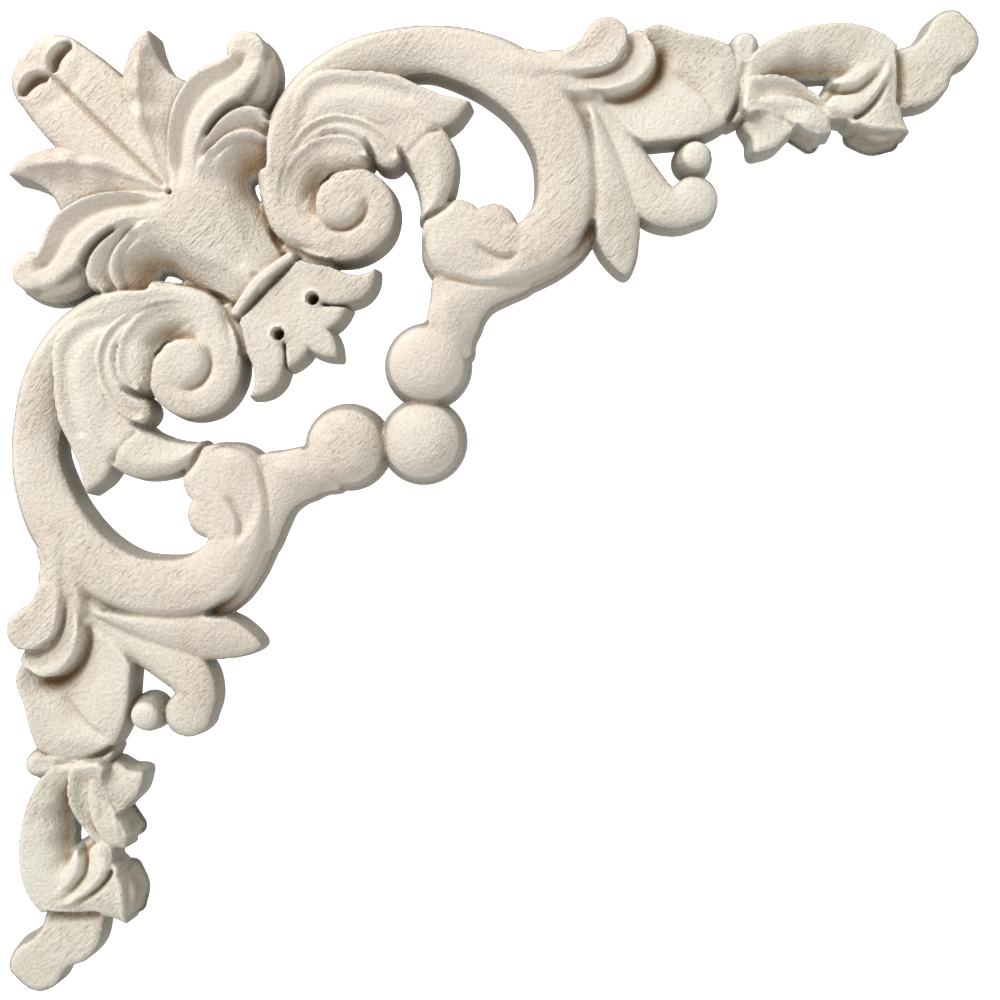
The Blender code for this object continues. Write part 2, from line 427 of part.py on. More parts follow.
def carved(u, v):
    """Height and depth inside the outline at the drawing points, both halves alike."""
    relief = paint(Relief(np.maximum(u, v), np.minimum(u, v)))
    depth = relief.inside + FLARE
    edge = np.clip(1 - relief.inside / ROUNDING, 0, 1)
    top = relief.height - EDGE_DROP * edge ** 2
    wall = RIM + np.maximum(depth, 0) * DRAFT
    share = np.clip(0.5 + (wall - top) / 1.6, 0, 1)
    return wall * (1 - share) + top * share - 0.8 * share * (1 - share), depth


def grid_of_points():
    """Points on a square grid, with those beside the outline moved onto it, and their heights."""
    line = np.arange(0, DRAWN_END, CELL)
    u, v = np.meshgrid(line, line, indexing="ij")
    shape, u, v = u.shape, u.ravel(), v.ravel()
    _, depth = carved(u, v)
    field = depth.reshape(shape)
    slope_u, slope_v = np.gradient(field, CELL)
    steep = np.maximum(slope_u ** 2 + slope_v ** 2, 0.25)
    kept = field > 0
    full = kept[:-1, :-1] & kept[1:, :-1] & kept[:-1, 1:] & kept[1:, 1:]
    around = np.pad(full, 1)
    inner = around[:-1, :-1] & around[1:, :-1] & around[:-1, 1:] & around[1:, 1:]
    to_rim = np.where(kept & ~inner, -field, 0)
    to_crest = np.where(inner & (np.abs(field - FLARE) < CELL / 2), FLARE - field, 0)
    move = np.clip(to_rim + to_crest, -1.4 * CELL, 1.4 * CELL) / steep
    u = u + (move * slope_u).ravel()
    v = v + (move * slope_v).ravel()
    height, _ = carved(u, v)
    height[(kept & ~inner).ravel()] = RIM
    return u, v, height, full


def carved_sheet():
    """The carved side as an open sheet of small squares."""
    u, v, height, full = grid_of_points()
    count = full.shape[1] + 1
    i, j = np.nonzero(full)
    corner = i * count + j
    faces = np.stack([corner, corner + 1, corner + count + 1, corner + count], -1)
    used, faces = np.unique(faces, return_inverse=True)
    points = np.stack([(u - ORIGIN) * SCALE, -height * SCALE, (ORIGIN - v) * SCALE], -1)[used]
    mesh = bpy.data.meshes.new("corner_onlay")
    mesh.from_pydata(points.tolist(), [], faces.reshape(-1, 4).tolist())
    return mesh


def one_stretch(sheet):
    """Leaves the largest stretch of the sheet, with no two parts of it meeting only at a corner."""
    pinched = True
    while pinched:
        pinched = [p for p in sheet.verts if sum(e.is_boundary for e in p.link_edges) > 2]
        bmesh.ops.delete(sheet, geom=pinched, context="VERTS")
    left, largest = set(sheet.verts), []
    while left:
        front = [left.pop()]
        stretch = list(front)
        while front:
            beside = {q for p in front for e in p.link_edges for q in e.verts} & left
            left -= beside
            front = list(beside)
            stretch += front
        largest = max(largest, stretch, key=len)
    crumbs = list(set(sheet.verts) - set(largest))
    bmesh.ops.delete(sheet, geom=crumbs, context="VERTS")


def closed_piece(mesh):
    """Gives the sheet its square rim and the flat fixing face on y = 0."""
    piece = bmesh.new()
    piece.from_mesh(mesh)
    one_stretch(piece)
    made = bmesh.ops.extrude_face_region(piece, geom=piece.faces[:], use_keep_orig=True)["geom"]
    for part in made:
        if isinstance(part, bmesh.types.BMVert):
            part.co.y = 0
    bmesh.ops.recalc_face_normals(piece, faces=piece.faces)
    piece.to_mesh(mesh)
    piece.free()


def thin_out(onlay):
    """Keeps the triangles that the carving needs."""
    faces = sum(len(face.vertices) - 2 for face in onlay.data.polygons)
    decimate = onlay.modifiers.new("thin out", "DECIMATE")
    decimate.ratio = TRIANGLES / faces
    bpy.context.view_layer.update()
    graph = bpy.context.evaluated_depsgraph_get()
    thinned = bpy.data.meshes.new_from_object(onlay.evaluated_get(graph))
    onlay.modifiers.clear()
    onlay.data = thinned


def wood():
    material = bpy.data.materials.new("pale_wood")
    material.use_nodes = True
    surface = material.node_tree.nodes["Principled BSDF"]
    surface.inputs["Base Color"].default_value = WOOD
    surface.inputs["Roughness"].default_value = ROUGHNESS
    surface.inputs["Metallic"].default_value = 0.0
    material.diffuse_color = WOOD
    return material


def main():
    for thing in list(bpy.data.objects):
        bpy.data.objects.remove(thing)
    mesh = carved_sheet()
    closed_piece(mesh)
    onlay = bpy.data.objects.new("corner_onlay", mesh)
    bpy.context.scene.collection.objects.link(onlay)
    thin_out(onlay)
    onlay.data.materials.append(wood())
    onlay.data.shade_smooth()
    onlay.data.set_sharp_from_angle(angle=0.6)


main()
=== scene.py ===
"""Carved wooden corner onlay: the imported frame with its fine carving, pale wood and a plain studio.

The carving is drawn flat, in drawing units of nearly a millimetre. u runs along the top arm and v down the
side arm, both from the outer corner. The arms mirror each other about the line u = v, so only the half with
u > v is drawn. Heights are measured from the flat fixing face.
"""

import math

import bmesh
import bpy
import numpy as np
from mathutils import Matrix, Quaternion, Vector


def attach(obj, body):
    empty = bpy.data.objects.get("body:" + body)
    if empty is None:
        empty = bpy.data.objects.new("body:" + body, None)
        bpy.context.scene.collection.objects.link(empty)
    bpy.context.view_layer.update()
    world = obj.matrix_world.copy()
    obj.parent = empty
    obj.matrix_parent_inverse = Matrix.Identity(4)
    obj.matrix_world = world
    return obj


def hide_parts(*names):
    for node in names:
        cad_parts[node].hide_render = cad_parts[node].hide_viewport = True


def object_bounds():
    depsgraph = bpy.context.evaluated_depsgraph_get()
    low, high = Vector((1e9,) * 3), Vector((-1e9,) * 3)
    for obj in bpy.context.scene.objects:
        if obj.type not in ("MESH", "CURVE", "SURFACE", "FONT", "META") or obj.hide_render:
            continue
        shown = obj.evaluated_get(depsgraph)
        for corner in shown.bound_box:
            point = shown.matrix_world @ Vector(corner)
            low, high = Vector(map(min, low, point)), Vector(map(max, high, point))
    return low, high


bl_info = {
    "name": "Carved corner onlay",
    "version": (1, 0, 0),
    "blender": (4, 5, 0),
    "location": "3D View > Sidebar > Onlay",
    "description": "Carves a wooden corner onlay and sets it in a plain studio",
    "category": "Add Mesh",
}

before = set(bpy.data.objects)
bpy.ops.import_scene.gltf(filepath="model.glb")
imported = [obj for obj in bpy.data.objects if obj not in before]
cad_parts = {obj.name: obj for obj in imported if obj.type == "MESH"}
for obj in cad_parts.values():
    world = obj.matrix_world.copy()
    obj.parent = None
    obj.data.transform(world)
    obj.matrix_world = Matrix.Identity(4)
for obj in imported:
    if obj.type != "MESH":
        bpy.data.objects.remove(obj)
CAD_BOX = [list(corner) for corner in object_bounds()]
NODE = "corner_onlay"
SPAN = CAD_BOX[1][0] - CAD_BOX[0][0]

DRAWN_SPAN = 197.2  # the arm's length on the drawing, from wall foot to wall foot
SCALE = 0.200 / DRAWN_SPAN
ORIGIN = 46.0  # the frame's origin lies behind the drawing point (46, 46)
DRAWN_END = 203.0  # the drawing's far edge

CELL = 0.25  # spacing of the carved points, drawing units
FLARE = 0.75  # how far the walls spread from the carved edge to the fixing face
DRAFT = 12.0  # rise of a wall for one unit inwards
ROUNDING = 1.1  # width of the softened edge
EDGE_DROP = 0.5  # how much lower the softened edge is
RIM = 0.6  # height of the square edge at the fixing face
STEPS = 12  # straight pieces to each span of a line
TRIANGLES = 190000  # most triangles of the whole piece
SANDING = 0.2  # how far the sandpaper softens the carving, drawing units

HOLLOW_REACH = 2.2  # how far round a point the wood is compared with it, drawing units
CUT_REACH = 0.7  # the same for fine cuts and ridges
CRISPNESS = 0.4  # how much the grooves are deepened and the ridges raised
MOST_CRISP = 0.6  # the most that a groove or ridge changes by
TOP = 10.49  # highest point of the carving
LOW_FROM = 6.2  # faces below this height are darkened with painted shade
LOW_REACH = 2.8
# The walls and slanted feet below are darkened with painted shade in the wood's colour.
WALL_WIDTH = 0.6  # how far a wall reaches inwards from the outline
FOOT_WIDTH = 2.2  # the same for the slanted feet under the leaves
FOOT_SLOPE = 1.6  # slope from which such a foot counts as wall
SMOOTH_UNDER = math.radians(50)  # faces that meet at less than this are shaded as one surface

PAPER_SIZE = 7.0  # floor and backdrop, metres
PAPER_BEND = 1.2
KEY_FROM = (-0.48, -0.52, 0.64)  # from the onlay's middle to the lights, metres
FILL_FROM = (0.5, -1.3, -0.1)
CAMERA_AIM = (103.2, 99.8)  # the drawing point in the middle of the picture
CAMERA_DISTANCE = 270.0  # from the fixing face, drawing units
CAMERA_LEAN = 0.0162  # how far the camera stands to the right and above, as a share of its distance
CAMERA_FOCUS = 1.317  # focal length as a share of the sensor's width
CAMERA_ROLL = -0.0065
SKY = (0.93, 0.97, 1.0, 1.0)

# Sections, as (place across, share of the crest height), from the middle or from the left side to the right.
ROUND = ((0, 1), (0.6, 0.95), (1, 0.72))
FLAT = ((0, 1), (0.75, 0.985), (1, 0.92))
LIP = ((0, 1), (0.85, 0.99), (1, 0.96))
SLOPE = ((-1, 1), (0, 1), (1, 0.25))


def eased(x):
    """From 0 to 1 with flat ends."""
    x = np.clip(x, 0, 1)
    return x * x * (3 - 2 * x)


def through(rows, closed=False):
    """A smooth line through the rows, with every column carried along. A row given twice makes a corner."""
    rows = np.array(rows, float)
    if closed:
        ring = np.vstack([rows[-1], rows, rows[:2]])
    else:
        ring = np.vstack([2 * rows[0] - rows[1], rows, 2 * rows[-1] - rows[-2]])
    gaps = np.hypot(*np.diff(ring[:, :2], axis=0).T)[:, None]
    lean = (ring[2:] - ring[:-2]) / np.maximum(gaps[1:] + gaps[:-1], 1e-9)
    t = (np.arange(STEPS) / STEPS)[:, None]
    spans = []
    for a, b, gap, start, end in zip(ring[1:-2], ring[2:-1], gaps[1:-1], lean[:-1], lean[1:]):
        leaving = (1 + 2 * t) * a + t * gap * start
        reaching = (3 - 2 * t) * b + (t - 1) * gap * end
        spans.append((1 - t) ** 2 * leaving + t ** 2 * reaching)
    spans.append(rows[:1] if closed else rows[-1:])
    return np.vstack(spans)


def read_section(x, section):
    """The section's height at x, eased between its points."""
    xs, ys = np.array(section, float).T
    x = np.clip(x, xs[0], xs[-1])
    i = np.clip(np.searchsorted(xs, x) - 1, 0, len(xs) - 2)
    slope = np.gradient(ys, xs)
    h = xs[i + 1] - xs[i]
    t = (x - xs[i]) / h
    start = (1 + 2 * t) * ys[i] + t * h * slope[i]
    end = (3 - 2 * t) * ys[i + 1] + (t - 1) * h * slope[i + 1]
    return (1 - t) ** 2 * start + t * t * end


def bent_plate(spots, u, v):
    """A thin plate bent through the spots (u, v, height)."""
    spots = np.array(spots, float)
    places, count = spots[:, :2], len(spots)
    gaps = ((places[:, None] - places[None]) ** 2).sum(-1)
    flat = np.hstack([np.ones((count, 1)), places])
    system = np.block([[bending(gaps) + 0.5 * np.eye(count), flat], [flat.T, np.zeros((3, 3))]])
    weights = np.linalg.solve(system, np.concatenate([spots[:, 2], np.zeros(3)]))
    height = weights[count] + weights[count + 1] * u + weights[count + 2] * v
    for (a, b), weight in zip(places, weights):
        height = height + weight * bending((u - a) ** 2 + (v - b) ** 2)
    return height


def bending(squares):
    return squares * np.log(squares + 1e-9)


class Relief:
    """Heights over drawing points (u, v), built up stroke by stroke as a carver would.

    height is the wood's thickness there, and inside is how far a point lies within the outline."""

    def __init__(self, u, v):
        self.u, self.v = u, v
        self.height = np.zeros_like(u)
        self.inside = np.full_like(u, -9.0)

    def near(self, line, reach):
        low, high = line[:, :2].min(0) - reach, line[:, :2].max(0) + reach
        within = (self.u > low[0]) & (self.u < high[0]) & (self.v > low[1]) & (self.v < high[1])
        return np.flatnonzero(within)

    def beside(self, line, at):
        """For each point: distance to the line, side (+1 right), the line's row there, run, whole length."""
        points = np.stack([self.u[at], self.v[at]], -1)
        nearest = np.full(len(points), 1e9)
        span = np.zeros(len(points), int)
        part = np.zeros(len(points))
        side = np.ones(len(points))
        for i, (a, b) in enumerate(zip(line[:-1, :2], line[1:, :2])):
            step = b - a
            t = np.clip((points - a) @ step / max(step @ step, 1e-9), 0, 1)
            off = points - a - t[:, None] * step
            gap = (off ** 2).sum(-1)
            closer = gap < nearest
            nearest[closer], span[closer], part[closer] = gap[closer], i, t[closer]
            side[closer] = np.where(step[0] * off[closer, 1] < step[1] * off[closer, 0], -1, 1)
        row = line[span] + part[:, None] * (line[span + 1] - line[span])
        lengths = np.hypot(*np.diff(line[:, :2], axis=0).T)
        run = np.concatenate([[0], np.cumsum(lengths)])[span] + part * lengths[span]
        return np.sqrt(nearest), side, row, run, lengths.sum()

    def lay(self, at, inside, height, over, seam):
        """Adds a form: over what is there, or merged with it where merging keeps the higher."""
        old, was = self.height[at], self.inside[at]
        if over:
            new_share, old_share = eased(inside / seam), eased(was / seam)
            share = new_share / (new_share + (1 - new_share) * old_share + 1e-9)
            mixed = old + share * (height - old)
        else:
            touch = np.maximum(seam - np.abs(old - height), 0) * eased(np.minimum(was, inside) / 1.5)
            mixed = np.maximum(old, height) + touch ** 2 / (4 * seam)
        both = (inside > 0) & (was > 0)
        self.height[at] = np.where(both, mixed, np.where(inside > was, height, old))
        self.inside[at] = np.maximum(was, inside)

    def limb(self, rows, section, over=False, seam=0.4, fade=0.0):
        """A long form. rows: u, v, half width, crest height and, if given, how far its right side drops."""
        line = through(rows)
        at = self.near(line, line[:, 2].max() + 2)
        away, side, row, run, _ = self.beside(line, at)
        across = side * away / np.maximum(row[:, 2], 0.05)
        height = row[:, 3] * read_section(np.abs(across) if section[0][0] == 0 else across, section)
        if line.shape[1] > 4:
            height = height - row[:, 4] * np.clip(across, -1, 1)
        if fade:
            old = self.height[at]
            height = np.where(self.inside[at] > 0, old + eased(run / fade) * (height - old), height)
        self.lay(at, row[:, 2] - away, height, over, seam)

    def patch(self, outline, spots, seam=0.3):
        """A field inside a closed line, its surface bent through the spots."""
        line = through(outline, closed=True)
        at = self.near(line, 2)
        away = self.beside(line, at)[0]
        u, v = self.u[at], self.v[at]
        within = np.zeros(len(at), bool)
        for a, b in zip(line[:-1], line[1:]):
            crossing = (a[1] > v) != (b[1] > v)
            within ^= crossing & (u < a[0] + (v - a[1]) / (b[1] - a[1] + 1e-12) * (b[0] - a[0]))
        self.lay(at, np.where(within, away, -away), bent_plate(spots, u, v), True, seam)

    def dome(self, u, v, radius, top, edge, power=2.0, seam=0.4):
        at = self.near(np.array([[u, v]]), radius + 2)
        away = np.hypot(self.u[at] - u, self.v[at] - v)
        share = np.sqrt(np.clip(1 - (away / radius) ** power, 0, 1))
        self.lay(at, radius - away, edge + (top - edge) * share, False, seam)

    def crease(self, rows, left, right, ends=3.0):
        """A gouge cut. rows: u, v, depth. left and right: how far it dies away on each side."""
        line = through(rows)
        at = self.near(line, 3.5 * max(left, right) + 0.5)
        away, side, row, run, total = self.beside(line, at)
        taper = eased(np.minimum(run, total - run) / ends)
        self.height[at] -= row[:, 2] * taper * np.exp(-((away / np.where(side > 0, right, left)) ** 1.5))

    def drill(self, u, v, radius, floor):
        at = self.near(np.array([[u, v]]), radius + 1)
        away = np.hypot(self.u[at] - u, self.v[at] - v)
        bored = floor + (self.height[at] - floor) * eased(away / (0.4 * radius) - 1.5)
        self.height[at] = np.minimum(self.height[at], bored)

    def pierce(self, rows):
        """A hole right through. rows: u, v, half width."""
        line = through(rows)
        at = self.near(line, line[:, 2].max() + 3)
        away, _, row, _, _ = self.beside(line, at)
        self.inside[at] = np.minimum(self.inside[at], away - row[:, 2])


def stem(r):
    """The stalk from the beads to the bulb, and the back of the scroll that joins it."""
    r.limb([(122.4, 45.2, 1.2, 3.6), (118.4, 49.2, 2.2, 5.2), (114.6, 52, 2.4, 6.8),
            (110.4, 54.2, 2.4, 7), (105.6, 56.2, 2.4, 7.4), (101, 58.2, 2.7, 7.8), (97.4, 61, 3.2, 8.2),
            (95, 65.4, 3.6, 8.2)], ROUND)
    r.limb([(97, 54, 3.4, 8), (94.9, 58.5, 3.9, 8.3), (93.7, 63, 4.1, 8.5), (93, 69, 4.2, 8.5)], ROUND)
    r.patch([(91, 55), (97, 55), (103, 56.4), (110, 56.2), (109.5, 57.4), (105, 59.5), (101.8, 61.1),
             (100, 63.2), (99, 65.6), (97.9, 68), (97.3, 71), (93, 72), (89.6, 70), (89, 65), (89.8, 60)],
            [(91, 60, 8.4), (93, 60, 8.8), (93, 64, 8.8), (90.5, 65, 8.4), (95.5, 60, 8.4), (95, 65, 8.3),
             (97.2, 61.8, 7.9), (96.6, 65, 7.7), (96, 68, 7.5), (99.2, 62, 7.2), (98.2, 65, 7),
             (97.2, 68, 6.6), (94, 57.5, 8.2), (99, 58.8, 7.9), (103, 58, 7.4), (107, 57, 6.8),
             (104, 59.2, 6.8), (92, 69, 8.4)], seam=0.6)


def hook(r):
    """The small volute under the calyx, with its ball."""
    r.limb([(118, 17, 3, 7), (122, 20.5, 2.9, 6.8), (125.6, 25, 3, 6.6), (128.8, 30.6, 3.4, 6.8),
            (131.6, 36.4, 4.2, 7.1), (135.2, 40.7, 4.1, 7.5), (139, 41.7, 3.9, 7.6),
            (142.3, 40.2, 4.5, 7.6)], ((-1, 0.93), (-0.5, 1), (0.5, 1), (1, 0.93)))
    r.dome(142.5, 31.7, 3.3, 8.8, 6, power=2.6)


def pod(r):
    """The long pod between the scroll and the hook."""
    r.limb([(121.2, 20, 0.9, 8.1), (122.6, 24, 1.3, 7.9), (124, 28.5, 2.1, 8), (125.2, 33.5, 3, 8.1),
            (126.2, 39, 3.9, 8.2), (126.7, 44, 4.6, 8), (126.9, 46.2, 4.4, 7.8)],
           ((-1, 0.84), (-0.35, 0.96), (0.1, 1), (0.6, 1), (1, 0.92)), over=True, seam=0.5, fade=5)
    r.patch([(122.4, 42), (122.5, 46), (123.8, 50), (126, 52.9), (127.9, 54.6), (128.9, 54.8),
             (129.9, 53.4), (130.9, 50), (131.1, 46), (131, 42)],
            [(122.8, 42.5, 7.75), (124.4, 43, 8.13), (126.7, 43, 8.05), (128.6, 43, 7.65),
             (130.4, 43, 7.1), (124, 46, 7.8), (127, 46, 7.75), (129, 46, 7.35), (130.6, 46, 6.85),
             (123.8, 48.8, 7.4), (127, 49.5, 7.5), (130.4, 49, 6.7), (127.4, 52, 7.1), (129.6, 52, 6.7),
             (128.4, 54.2, 6.8), (125.8, 51.8, 7.2)], seam=2.5)

def band(r):
    """The C-scroll: from the volute up, over, down its right side and into the bulb."""
    r.limb([(69, 45.4, 5.6, 8.5, 0.4), (63.6, 42.6, 6.2, 8.3, 1), (61.4, 37, 5.6, 8, 1.5),
            (61.6, 31, 5.6, 7.9, 1.6), (63.6, 24.6, 5.8, 7.9, 1.6), (68.2, 18, 5.8, 7.8, 1.6),
            (75.6, 12.7, 5.2, 7.8, 1.6), (83, 10.2, 4.6, 8.1, 1.1), (90, 9.6, 4.7, 8.4, 0.6),
            (97, 11, 5.4, 8.6, 0.3), (104.4, 14.2, 6, 8.8, 0), (111.4, 20.1, 6.1, 9, 0),
            (116, 28, 5.9, 9.1, 0), (117.4, 36, 6.1, 9.2, 0), (116.4, 42.5, 6, 9.3, 0),
            (112.6, 48, 5.8, 9.3, 0), (106.8, 51.2, 5.6, 9.3, 0), (101, 51.3, 6.4, 9.3, 0),
            (96.2, 49.2, 7.9, 9.2, 0)], ((-1, 0.7), (-0.75, 0.9), (-0.35, 1), (0.5, 1), (1, 0.93)),
           over=True, seam=1)
    r.dome(102.3, 45.4, 4.5, 8.9, 8.3, seam=1.5)
    r.dome(95, 45.8, 5.8, 8.9, 8.3, seam=1.5)
    r.limb([(97, 49.4, 7.4, 9.3), (95.5, 49.1, 7.2, 9.2)], ((0, 1), (0.5, 0.99), (1, 0.8)), over=True,
           seam=3, fade=2)
    r.limb([(103, 12.6, 4.4, 8.6), (111, 14.4, 3.8, 8.8), (118, 14.6, 3.2, 8.8)],
           ((-1, 0.85), (-0.5, 1), (1, 1)), over=True, seam=2.5, fade=5)
    r.patch([(88.3, 48), (88.8, 44.4), (91.2, 41.4), (95, 40.3), (98.8, 42.2), (101.4, 41.1),
             (104.4, 41.8), (106.8, 44.8), (109, 47.5), (108, 52), (103, 55.8), (97.5, 56.6), (92, 54.8),
             (89.2, 51.6)],
            [(90, 46, 8.9), (93, 42.6, 9), (97, 43.6, 9.1), (102, 43, 9), (105.6, 45.6, 9.1),
             (92, 50, 9.2), (97, 48, 9.4), (103, 48.5, 9.3), (92.5, 54, 8.6), (98, 55.8, 8.4),
             (103.5, 54.6, 8.5), (98, 52, 9.1), (107.5, 50, 9.1)], seam=2.5)
    r.crease([(98, 47.8, 0.3), (100.5, 50, 0.8), (103.5, 51.3, 0.9), (106.5, 51.2, 0.7),
              (108.5, 50.4, 0.3)], 0.35, 1.2)


def calyx(r):
    """The cup at the end of the scroll, with the two lips that curl over it."""
    r.patch([(120, 17.5), (127, 9.5), (132, 7), (134.5, 5.9), (137, 6.2), (141, 7.7), (146, 8.8),
             (149.6, 10.4), (151.4, 14.5), (151.8, 18), (150.9, 21.5), (148.8, 24.8), (143.5, 27.5),
             (137, 28.6), (130, 28.3), (125, 22)],
            [(134, 7, 7.4), (140, 9, 7.8), (146, 11, 7.8), (136.5, 11.5, 5.2), (138.5, 14, 6),
             (134.6, 16, 5.6), (131, 19, 6), (127, 20.6, 6.6), (134, 20.6, 6.6), (139, 19, 6.9),
             (141, 14, 6.8), (143, 17.5, 7), (142.5, 22.5, 7.7), (138, 27, 8), (131, 26.5, 7.6),
             (146, 25, 7.5), (147.4, 16, 7.8), (147, 21, 7.7), (151.2, 13, 7.2), (151.2, 16.5, 7),
             (150.4, 20.5, 6.9), (120, 17, 8.6)], seam=1.2)
    r.crease([(137.4, 14.4, 0.4), (140.6, 16.4, 0.7), (143.8, 19, 0.9), (146, 22, 0.7),
              (147.2, 24.6, 0.4)], 2.2, 0.8)
    r.limb([(152.5, 9.8, 2.5, 7.4), (152.2, 12.4, 1.9, 7.2), (151.4, 15.4, 1.2, 7)], FLAT, seam=1)
    r.limb([(114, 14.5, 4, 8), (122.5, 14.2, 4.2, 8.2), (127.5, 12, 4.6, 8.2)], LIP)
    r.patch([(110, 15.5), (113, 14.6), (117, 14.8), (121.4, 15.6), (123.2, 17.4), (122.4, 19.8),
             (118.6, 20.4), (112.6, 18.4)],
            [(112, 16, 8.9), (116, 15.6, 8.9), (121.5, 17.2, 8.5), (119, 19.4, 8.5), (114, 17.4, 8.9)],
            seam=1.6)
    r.limb([(117.6, 16.4, 1.2, 8.6), (122.4, 17.4, 1.8, 8.5), (126.2, 17, 2.3, 8.5),
            (129.6, 15.2, 3, 8.5), (131.7, 12, 3.2, 8.5), (131.2, 9.4, 2.5, 8.2)], LIP, over=True, fade=5)
    r.limb([(113, 13.4, 2.6, 8.9), (119, 12.9, 2.9, 9.6), (123.2, 11.2, 4.2, 10.3),
            (125, 8.9, 4.2, 10.3)], LIP, over=True, fade=5)
    r.crease([(129.6, 7, 0.4), (129.7, 10.4, 0.9), (128.5, 12.9, 1), (125.8, 14.8, 0.9),
              (121.8, 15.9, 0.6), (118, 16, 0.2)], 0.7, 0.25, ends=1.5)
    r.crease([(135.4, 9.4, 0.6), (135.8, 12.6, 2.6), (134.6, 15.7, 2.2), (131.8, 18.4, 1.8),
              (127.8, 19.9, 1.6), (123.6, 20, 0.8)], 1, 0.35, ends=1.5)


def leaf(r):
    """Acanthus lobes that lie on the scroll."""
    r.limb([(77.5, 23.2, 3, 8.9), (81.5, 24, 4, 9), (84.8, 25.2, 4.5, 9.1), (87.6, 27.6, 4.8, 9.2),
            (90.1, 31.5, 4.7, 9.2), (90.8, 36, 3.7, 9), (90.4, 39.2, 2.7, 8.9), (89.5, 41.6, 1.6, 8.8),
            (88.5, 43.2, 0.6, 8.6)], ((-1, 0.9), (-0.3, 1), (0.3, 0.96), (1, 0.9)), seam=1.2)
    r.limb([(64.4, 29, 3.2, 8), (65.6, 24, 4, 8.5), (69, 19.9, 5, 9.1), (74.4, 19, 4.5, 9.4),
            (81, 20, 4.9, 9.5), (87, 21.5, 4, 9.3), (91.5, 22.2, 3, 9), (94, 22.1, 1.8, 8.7)],
           ((-1, 0.99), (-0.75, 1), (-0.4, 0.95), (0.2, 1), (1, 0.93)))
    r.patch([(86, 17.3), (90, 18.7), (93, 19.6), (95.6, 20.1), (97.7, 20.6), (97.7, 20.6), (96.6, 22.3),
             (95.2, 24), (93, 25.4), (89, 25.8), (86, 23)],
            [(87, 20, 9.2), (90, 22.5, 9), (93, 20.6, 9), (97, 21.2, 8.7), (94, 24.4, 8.6),
             (88, 24.5, 9.2)], seam=1.5)
    r.crease([(92.6, 26.4, 0.4), (91, 26.1, 0.8), (89, 27.4, 0.3), (86.8, 29.4, 0.25), (85, 31.2, 0.5)],
             0.7, 0.35, ends=1.2)
    r.limb([(62.8, 33.4, 2.2, 7.6), (63.8, 29.4, 1.9, 8.2), (66.6, 26.2, 1.8, 8.7), (71, 24.7, 1.8, 9),
            (76, 25.8, 2.1, 9), (79.8, 28.5, 2.6, 8.7), (81.6, 30.8, 2.6, 8.4)],
           ((-1, 0.96), (-0.7, 1), (-0.25, 0.93), (0.4, 0.95), (1, 0.92)), over=True, fade=9)
    r.limb([(62.6, 43.5, 1.4, 7.8), (62.4, 40, 2.6, 7.5), (63, 36.2, 3.2, 7.4), (64.9, 32.9, 3.4, 7.5),
            (68.7, 30.3, 3.4, 7.6), (73, 30.1, 3.5, 7.6), (75.2, 30.8, 2.8, 7.5)],
           ((-1, 1.04), (-0.8, 1.07), (-0.45, 1.01), (0.3, 0.96), (1, 0.85)), over=True, fade=9)
    r.crease([(76.6, 27.4, 0.4), (77.9, 29.8, 2), (78.5, 31.6, 3), (78.6, 33.2, 3)], 0.35, 0.7, ends=1.2)
    r.crease([(83.4, 29.2, 0.3), (84.4, 31.2, 1.6), (85.1, 33, 2.2), (85.2, 34.8, 2.2)], 0.5, 0.3,
             ends=1.2)
    r.crease([(71, 33, 0.3), (67.8, 34, 1.4), (66.6, 37, 2.2), (66.6, 41, 1.8), (68.4, 44, 0.8)], 2, 2.4)
    r.crease([(87.9, 44, 0.6), (90.3, 42.7, 1.4), (92.7, 41.1, 1.6), (94.5, 39.3, 1)], 0.3, 0.8, ends=1)


def eye(r):
    """The volute's boss, with the cut that winds into it."""
    r.limb([(64, 44.4, 4.2, 6.6), (67, 46.2, 4.6, 8), (70, 47.1, 4.6, 8.7), (74.2, 46.9, 4.6, 9),
            (77.6, 44.5, 4.6, 9.1), (78.4, 40.8, 4.3, 9.2), (76.2, 38, 4, 9.3), (73, 38.4, 4, 9.4)],
           ((-1, 0.62), (-0.6, 0.86), (0, 1), (0.6, 1), (1, 0.96)), seam=1.5)
    r.dome(72.4, 40.6, 5.4, 9.9, 8.4, seam=0.6)
    r.crease([(76.8, 39.6, 0.2), (77, 41.8, 0.9), (75.8, 44, 1.4), (73.4, 45.5, 1.3), (70.6, 45.7, 0.8),
              (68.2, 44.4, 0.3)], 0.5, 1, ends=2)


